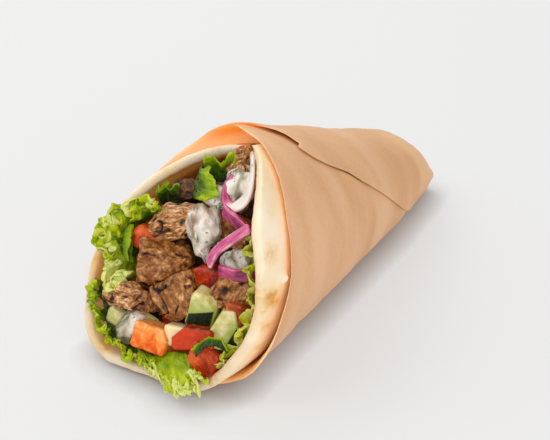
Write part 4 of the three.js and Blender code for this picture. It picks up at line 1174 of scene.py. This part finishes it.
# ---------------------------------------------------------------- lettuce
# Leaves of frilly green lettuce, tucked between the filling and the bread. Each is a thin
# sheet from a root line to an edge that is far longer, so that it ruffles.
LETTUCE = [  # for each leaf, its sheets; fine: how crinkled; the green level: how bright a green, partly the leaf's own, and partly painted shade for leaves deep in the mouth and, above 1, a painted frosty highlight
    [
        dict(edge=[(-20, 17, -1), (-29, 11.5, 3), (-33.9, 5.5, 5.3), (-33.9, -1, 7.3),
                   (-31.4, -6, 8.3)],
             root=[(-22, 11, -8), (-29, 4.5, -8), (-29.5, -1.5, -8), (-28, -5, -7), (-27, -8, -6)],
             frill=2.2, waves=5, bow=2, phase=0.4, fine=1.1, green_and_painted_light=0.75),
        dict(edge=[(-31.5, -5.5, 5), (-27.6, -10.5, 7.5), (-23.6, -14.5, 8.5), (-20, -13.5, 7)],
             root=[(-29, -4, -6), (-27, -8, -6), (-24.5, -11.5, -6), (-21, -12, -6)], frill=1.9,
             waves=3, bow=1, phase=1.4, fine=1.1, green_and_painted_light=1.3),
        dict(edge=[(-24.5, 5, 5), (-21.6, 2.3, 5.5), (-20.6, -1.9, 5.5), (-20.8, -7, 4.5)],
             root=[(-27.5, 3.5, 2), (-28.4, 0.3, 2), (-27.6, -3.7, 2), (-25, -8.2, 2)], frill=0.4,
             waves=0.6, bow=2, phase=1.2, fine=0.2, green_and_painted_light=0.85, painted_edge_light=0.5),
    ],
    [
        dict(edge=[(-31.5, -17, 8), (-32, -23, 8), (-27, -29.5, 8), (-17, -33, 9),
                   (-7.5, -35.5, 9), (1.5, -33.5, 8)],
             root=[(-28, -18, 0), (-28.5, -25, 0), (-22.5, -30.5, 0), (-13, -34, 1),
                   (-2, -31.5, 2)],
             frill=1.7, waves=6, bow=-1, phase=1.2, fine=1.1, green_and_painted_light=0.5),
    ],
    [
        dict(edge=[(-4.5, -36, 6), (6, -37.5, 8), (17, -38, 10), (23.5, -34, 9), (23.5, -29, 7)],
             root=[(-9, -33.5, 3), (-2, -32.8, 2.5), (5, -29, 2.5), (12, -27.5, 2.5), (17, -31, 5)],
             frill=1.5, waves=3.5, bow=1.5, phase=2, fine=1.2, green_and_painted_light=1.1),
    ],
    [
        dict(edge=[(18.5, 15, -4.8), (23, 7.8, -3.8), (26.6, -2.5, -2.8), (28.2, -11.5, -2.4),
                   (27.4, -19.5, 0.4), (22.2, -28.5, 3)],
             root=[(17, 12.5, -9), (21, 4.5, -9), (24.3, -5, -8), (25.2, -13.5, -7), (24, -21, -5),
                   (19, -30, -2)],
             frill=1.5, waves=7, bow=1, phase=0, fine=1.1, green_and_painted_light=1.0),
    ],
    [
        dict(edge=[(-2.5, 19.5, -6), (0, 23.5, -6), (-2, 28.5, -6.5), (-6.5, 31, -7)],
             root=[(-10.5, 18.5, -9), (-11.5, 22, -9), (-11.5, 26.5, -9), (-10, 30.5, -9)],
             frill=0.8, waves=1.5, bow=1.6, phase=0.8, fine=0.5, green_and_painted_light=0.25),
        dict(edge=[(-9, 31.5, -7), (-6, 35.5, -7.5), (-2.2, 33.5, -8), (0.5, 37.5, -8.5),
                   (2.5, 35, -9)],
             root=[(-10, 25, -13), (-7.5, 25.5, -14), (-4.5, 26.5, -14), (-2, 28, -14),
                   (0, 28, -14)],
             frill=0.8, waves=1.5, bow=1.2, phase=0.2, fine=0.35, green_and_painted_light=0.25),
    ],
    [
        dict(edge=[(-26, 16, -5), (-22.5, 20, -6.5), (-18.5, 22, -9)],
             root=[(-25, 10, -12), (-22, 12, -12), (-18, 13, -13)], frill=1.2, waves=2.5, bow=1,
             phase=0.3, fine=0.8, green_and_painted_light=0.0),
    ],
    [
        dict(edge=[(18, -23.5, 8.5), (21.5, -17.8, 9), (25.5, -15.8, 8), (30, -18.5, 5)],
             root=[(18.6, -25.4, 6.5), (22, -20.8, 6.8), (25.5, -19.2, 5.8), (28.6, -20.4, 4)],
             frill=0.6, waves=1.5, bow=1.2, phase=0.5, fine=0.4, green_and_painted_light=0.1),
    ],
]
LEAF_THICKNESS = 0.4
LEAF_COLUMNS_PER_MM, LEAF_ROWS = 5, 64
LEAF_LOBES = [(0.18, 3.1, 0), (0.13, 1.3, 1)]  # height, size in mm, seed
LEAF_CURLS = [  # height, size in mm, seed, and where they start and how soon they are full
    (0.8, 4.2, 3, 0.15, 0.6), (1.05, 2.0, 4, 0.35, 0.45), (0.85, 1.0, 5, 0.5, 0.3),
]


def tangle(points, size, seed):
    """Three independent noise() fields as one vector field."""
    return np.stack([noise(points, size, seed + 17 * k) for k in range(3)], -1)


def leaf_sheet(shape, seed):
    """A sheet between two curves. A wave that grows towards the edge throws it into folds,
    and three vector fields, each finer and nearer the edge, crumple the folds into curls.
    Returns its two faces, the upper one with its columns in reverse so that both look
    outwards, the place on the flat leaf, the share of the way to the edge, and how far
    each point stands out."""
    outline = curve(shape["edge"], np.linspace(0, 1, 60))
    length = np.linalg.norm(np.diff(outline, axis=0), axis=-1).sum()
    columns = int(40 + length * LEAF_COLUMNS_PER_MM)
    s, r = grid_of(0, 1, columns, 0, 1, LEAF_ROWS)
    root, edge = curve(shape["root"], s), curve(shape["edge"], s)
    width = np.linalg.norm(edge - root, axis=-1).mean()
    flat = np.stack([s * length, r * width, 0 * s + seed], -1)
    lobes = blend(flat * (1, 0, 1), LEAF_LOBES, seed)
    across = (edge - root) * (1 + lobes * r**2)[..., None]
    middle = root + across * r[..., None]
    ahead = unit(np.gradient(edge, axis=0))
    axes = np.stack([ahead, unit(across), unit(np.cross(across, ahead))], -2)
    phase = 2 * np.pi * shape["waves"] * s + shape["phase"] + 1.6 * noise(flat, 9, seed + 2)
    fold = np.stack([0.5 * np.cos(phase), 0 * s, np.sin(phase)], -1) * (r**1.5)[..., None]
    curls = sum(
        height * tangle(flat, size, seed + own) * smooth((r - first) / reach)[..., None]
        for height, size, own, first, reach in LEAF_CURLS
    )
    push = shape["frill"] * (fold + shape["fine"] * curls)
    push[..., 2] += shape["bow"] * np.sin(np.pi * r) + 0.42 * layered(flat, 2.6, seed + 9)
    middle = middle + (push[..., None, :] @ axes)[..., 0, :]
    normal = unit(np.cross(np.gradient(middle, axis=1), np.gradient(middle, axis=0)))
    border = np.minimum(np.minimum(s, 1 - s) * columns / 2, np.minimum(r, 1 - r) * 29)
    half = (LEAF_THICKNESS / 2 * np.sqrt(np.clip(border, 0, 1)) * (1.7 - r))[..., None]
    upper, under = in_mouth(middle + normal * half), in_mouth(middle - normal * half)
    return [upper[::-1], under], flat, r, push[..., 2] / shape["frill"]


def lettuce_leaf(number, sheets):
    """One leaf of one or more sheets that grow from the same place."""
    faces, places, rims, heights, greens = [], [], [], [], []
    for index, shape in enumerate(sheets):
        pair, flat, r, height = leaf_sheet(shape, 7000 + 100 * number + 31 * index)
        faces += pair
        places += [flat[::-1], flat]
        rims += [r * shape.get("painted_edge_light", 1)] * 2
        heights += [height[::-1], height]
        # Painted shade and highlight: each sheet's green level also darkens leaves deep in the
        # mouth and, above 1, gives a painted frosty highlight.
        greens += [np.full(r.shape, shape["green_and_painted_light"])] * 2
    kept = {"leaf": places, "rim": rims, "height": heights, "green_and_painted_light": greens}
    made = piece(f"lettuce_leaf_{number}", faces, kept, turn_outwards=False)
    stands_for(made, f"lettuce_{number}", lettuce_green)


lettuce_green, tree = new_material("frilly_green_lettuce")
# Crisp leaf: yellow-green with paler ribs, painted lighter towards the frilled edge and on
# its crests and darker towards the root and in its hollows, as painted light and shade over
# the leaf's own green; a waxy shine on its blisters, and light that passes through.
rim, green_and_painted_light, height = (
    add(tree, "Attribute", out="Fac", attribute_name=name)
    for name in ("rim", "green_and_painted_light", "height")
)
flat = add(tree, "Attribute", out="Vector", attribute_name="leaf")
cloud = add(tree, "TexNoise", {"Vector": flat, "Scale": 0.3, "Detail": 4.0})
# Painted light and shade: the green is lightened towards the leaf's edge and on its raised crests,
# and darkened towards the root and in its hollows.
edge = add(tree, "MapRange", {0: rim, 1: 0.45, 2: 0.95, 3: -0.1, 4: 0.4})
bright = add(tree, "Math", {0: green_and_painted_light, 1: 0.4, 2: edge}, operation="MULTIPLY_ADD")
raised = add(tree, "Math", {0: height, 1: 0.08, 2: bright}, operation="MULTIPLY_ADD")
level = add(tree, "Math", {0: cloud, 1: 0.4, 2: raised}, operation="MULTIPLY_ADD")
green = add(
    tree,
    "ValToRGB",
    {"Fac": level},
    stops=[(0.18, "1a3400"), (0.4, "557a00"), (0.62, "a2bf00"), (0.86, "d4e010"), (1.0, "eef290")],
)
drawn = add(tree, "Mapping", {"Vector": flat, "Scale": (1.0, 0.4, 1.0)})
veins = add(tree, "TexVoronoi", {"Vector": drawn, "Scale": 0.45}, feature="DISTANCE_TO_EDGE")
line = add(tree, "MapRange", {0: veins, 1: 0.0, 2: 0.08, 3: 0.1, 4: 0.0})
colour = add(tree, "MixRGB", {"Fac": line, "Color1": green, "Color2": "e3ebae"})
blister = add(tree, "TexNoise", {"Vector": flat, "Scale": 0.9, "Detail": 3.0})
relief = add(tree, "Bump", {"Height": blister, "Strength": 0.6, "Distance": 0.0007})
body = add(
    tree,
    "BsdfPrincipled",
    {"Base Color": colour, "Roughness": 0.3, "Specular IOR Level": 0.32, "Normal": relief},
)
through = add(tree, "BsdfTranslucent", {"Color": colour, "Normal": relief})
both = add(tree, "MixShader", {0: 0.34, 1: body, 2: through})
add(tree, "OutputMaterial", {"Surface": both})

for number, sheets in enumerate(LETTUCE, 1):
    lettuce_leaf(number, sheets)

# ---------------------------------------------------------------- yoghurt sauce
# Spoonfuls of thick strained-yoghurt sauce with grated cucumber and herbs, dropped on
# the meat before the bread was rolled.
SAUCE_STEPS = 58
SAUCE_LUMPS = [(0.26, 7, 0), (0.2, 4.2, 1), (0.08, 2.2, 2)]  # height, size in mm, seed
SAUCE = [  # flow: its direction, tail: how much it narrows below, film: how thin it runs out
    dict(size=(14.5, 22, 11), at=(-0.6, 9.6, -6.2), turn=(0, 10, 18), flow=12, tail=0.85, shreds=9,
         film=1.0),
    dict(size=(12, 16, 9), at=(4, 27, -13), turn=(0, 10, 0), flow=10, shreds=6),
    dict(size=(12, 9, 9), at=(14, 4.5, -9), turn=(0, 10, 10), flow=40, shreds=4),
    dict(size=(9.8, 14.5, 9), at=(-16.2, -28.3, 1.2), turn=(0, 10, -32), flow=10, tail=0.1,
         shreds=3),
    dict(size=(8, 9, 8), at=(-1.5, 21.5, -10.5), turn=(0, 0, 0), flow=0, shreds=3),
]


def sauce_shreds(shape, rng):
    """Grated shreds lying in the surface of a spoonful: short round rods, a little bent,
    roughly along its flow, on the side that faces out of the mouth."""
    along_rod, around = grid_of(0, 1, 12, 0, 2 * np.pi, 11)
    flow = math.radians(shape["flow"])
    rods = []
    for _ in range(shape["shreds"]):
        side = unit(rng.uniform((-1, -1, 0.15), (1, 1, 1)))
        place = side * np.array(shape["size"]) / 2 * 0.97
        heading = flow + rng.normal(0, 0.5)
        ahead = np.array([-math.sin(heading), math.cos(heading), 0.0])
        ahead = unit(ahead - side * (ahead @ side))
        third = np.cross(side, ahead)
        length, radius, bend = rng.uniform(2.5, 5.0), rng.uniform(0.35, 0.5), rng.normal(0, 0.8)
        x = along_rod - 0.5
        thick = radius * np.sqrt(np.clip(1 - (2 * x) ** 6, 0, 1))
        upwards = 0.7 * thick * np.cos(around) - x**2 * length * 0.5
        sideways = thick * np.sin(around) + bend * (x**2 - 0.1) * 4
        turned = np.stack([x * length, upwards, sideways], -1)
        rods.append(place + turned @ np.stack([ahead, side, third]))
    return rods


def sauce_spoonful(number, shape):
    """A ball stretched to size, narrowed into a tail below, with folds and creases that run
    along its flow, and grated shreds lying in it."""
    seed = 9000 + 100 * number
    base, out = block((2, 2, 2), 1, SAUCE_STEPS)
    half = np.array(shape["size"]) / 2
    low, high = smooth((0.45 - base[..., 1]) / 1.4), smooth((base[..., 1] - 0.3) / 0.7)
    narrow = 1 - shape.get("tail", 0) * (low + 0.4 * high)
    scaled = base * half * np.stack([narrow, 0 * narrow + 1, 0.4 + 0.6 * narrow], -1)
    streaming = scaled @ turn_matrix((0, 0, shape["flow"])) + 1.2 * tangle(scaled, 6, seed + 8)
    lumps = blend(scaled, SAUCE_LUMPS, seed)
    folds = 0.4 * ridges(streaming * (1, 0.3, 1), 4.4, seed + 2) ** 2
    folds = folds + 0.08 * bundles(streaming * (1, 0.4, 1), 2.4, seed + 3)
    points = scaled * (1 + lumps)[..., None] + out * (folds - 0.35)[..., None]
    rods = sauce_shreds(shape, np.random.default_rng(seed))
    grids = [*points, *rods]
    local = [place + 30 * number for place in [*streaming, *rods]]
    none = [np.zeros(rod.shape[:2]) for rod in rods]
    shred = [np.zeros(grid.shape[:2]) for grid in points] + [zero + 1 for zero in none]
    film = smooth((base[..., 1] + 0.15 + 0.6 * noise(scaled, 5, seed + 6)) / 0.8)
    film = [*(film * shape.get("film", 0)), *none]
    made = piece(
        f"yoghurt_sauce_{number}",
        [in_mouth(grid, shape["at"], shape["turn"]) for grid in grids],
        {"local": local, "shred": shred, "film": film},
    )
    stands_for(made, f"sauce_{number}", yoghurt_sauce)


yoghurt_sauce, tree = new_material("yoghurt_and_cucumber_sauce")
# Thick yoghurt: off-white, soft and wet, with pale green shreds and dark herb flecks; it
# thins out into a film that is stained by the meat's juice.
local = add(tree, "Attribute", out="Vector", attribute_name="local")
shred = add(tree, "Attribute", out="Fac", attribute_name="shred")
drawn = add(tree, "Mapping", {"Vector": local, "Scale": (1.0, 0.35, 1.0)})
cream = add(tree, "TexNoise", {"Vector": drawn, "Scale": 0.3, "Detail": 2.5, "Roughness": 0.5})
milk = add(
    tree,
    "ValToRGB",
    {"Fac": cream},
    stops=[(0.37, "857f64"), (0.45, "bcb59f"), (0.53, "e0d9cb"), (0.64, "f6f1e8")],
)
green = add(tree, "ValToRGB", {"Fac": cream}, stops=[(0.4, "a5ad86"), (0.6, "dcdfc8")])
film = add(tree, "Attribute", out="Fac", attribute_name="film")
juicy = add(tree, "MapRange", {0: cream, 1: 0.42, 2: 0.64, 3: 1.0, 4: 0.3})
thin = add(tree, "Math", {0: film, 1: juicy}, operation="MULTIPLY")
milky = add(tree, "MixRGB", {"Fac": thin, "Color1": milk, "Color2": "8d6c4c"})
mixed = add(tree, "MixRGB", {"Fac": shred, "Color1": milky, "Color2": green})
herbs = add(tree, "TexVoronoi", {"Vector": local, "Scale": 0.5})
fleck = add(tree, "MapRange", {0: herbs, 1: 0.12, 2: 0.2, 3: 0.8, 4: 0.0})
colour = add(tree, "MixRGB", {"Fac": fleck, "Color1": mixed, "Color2": "4f5c38"})
relief = add(tree, "Bump", {"Height": cream, "Strength": 0.3, "Distance": 0.0006})
shader = add(
    tree,
    "BsdfPrincipled",
    {
        "Base Color": colour,
        "Roughness": 0.18,
        "Specular IOR Level": 0.5,
        "Subsurface Weight": 0.5,
        "Subsurface Radius": (1.0, 0.9, 0.75),
        "Subsurface Scale": 0.0015,
        "Normal": relief,
    },
)
add(tree, "OutputMaterial", {"Surface": shader})

for number, shape in enumerate(SAUCE, 1):
    sauce_spoonful(number, shape)
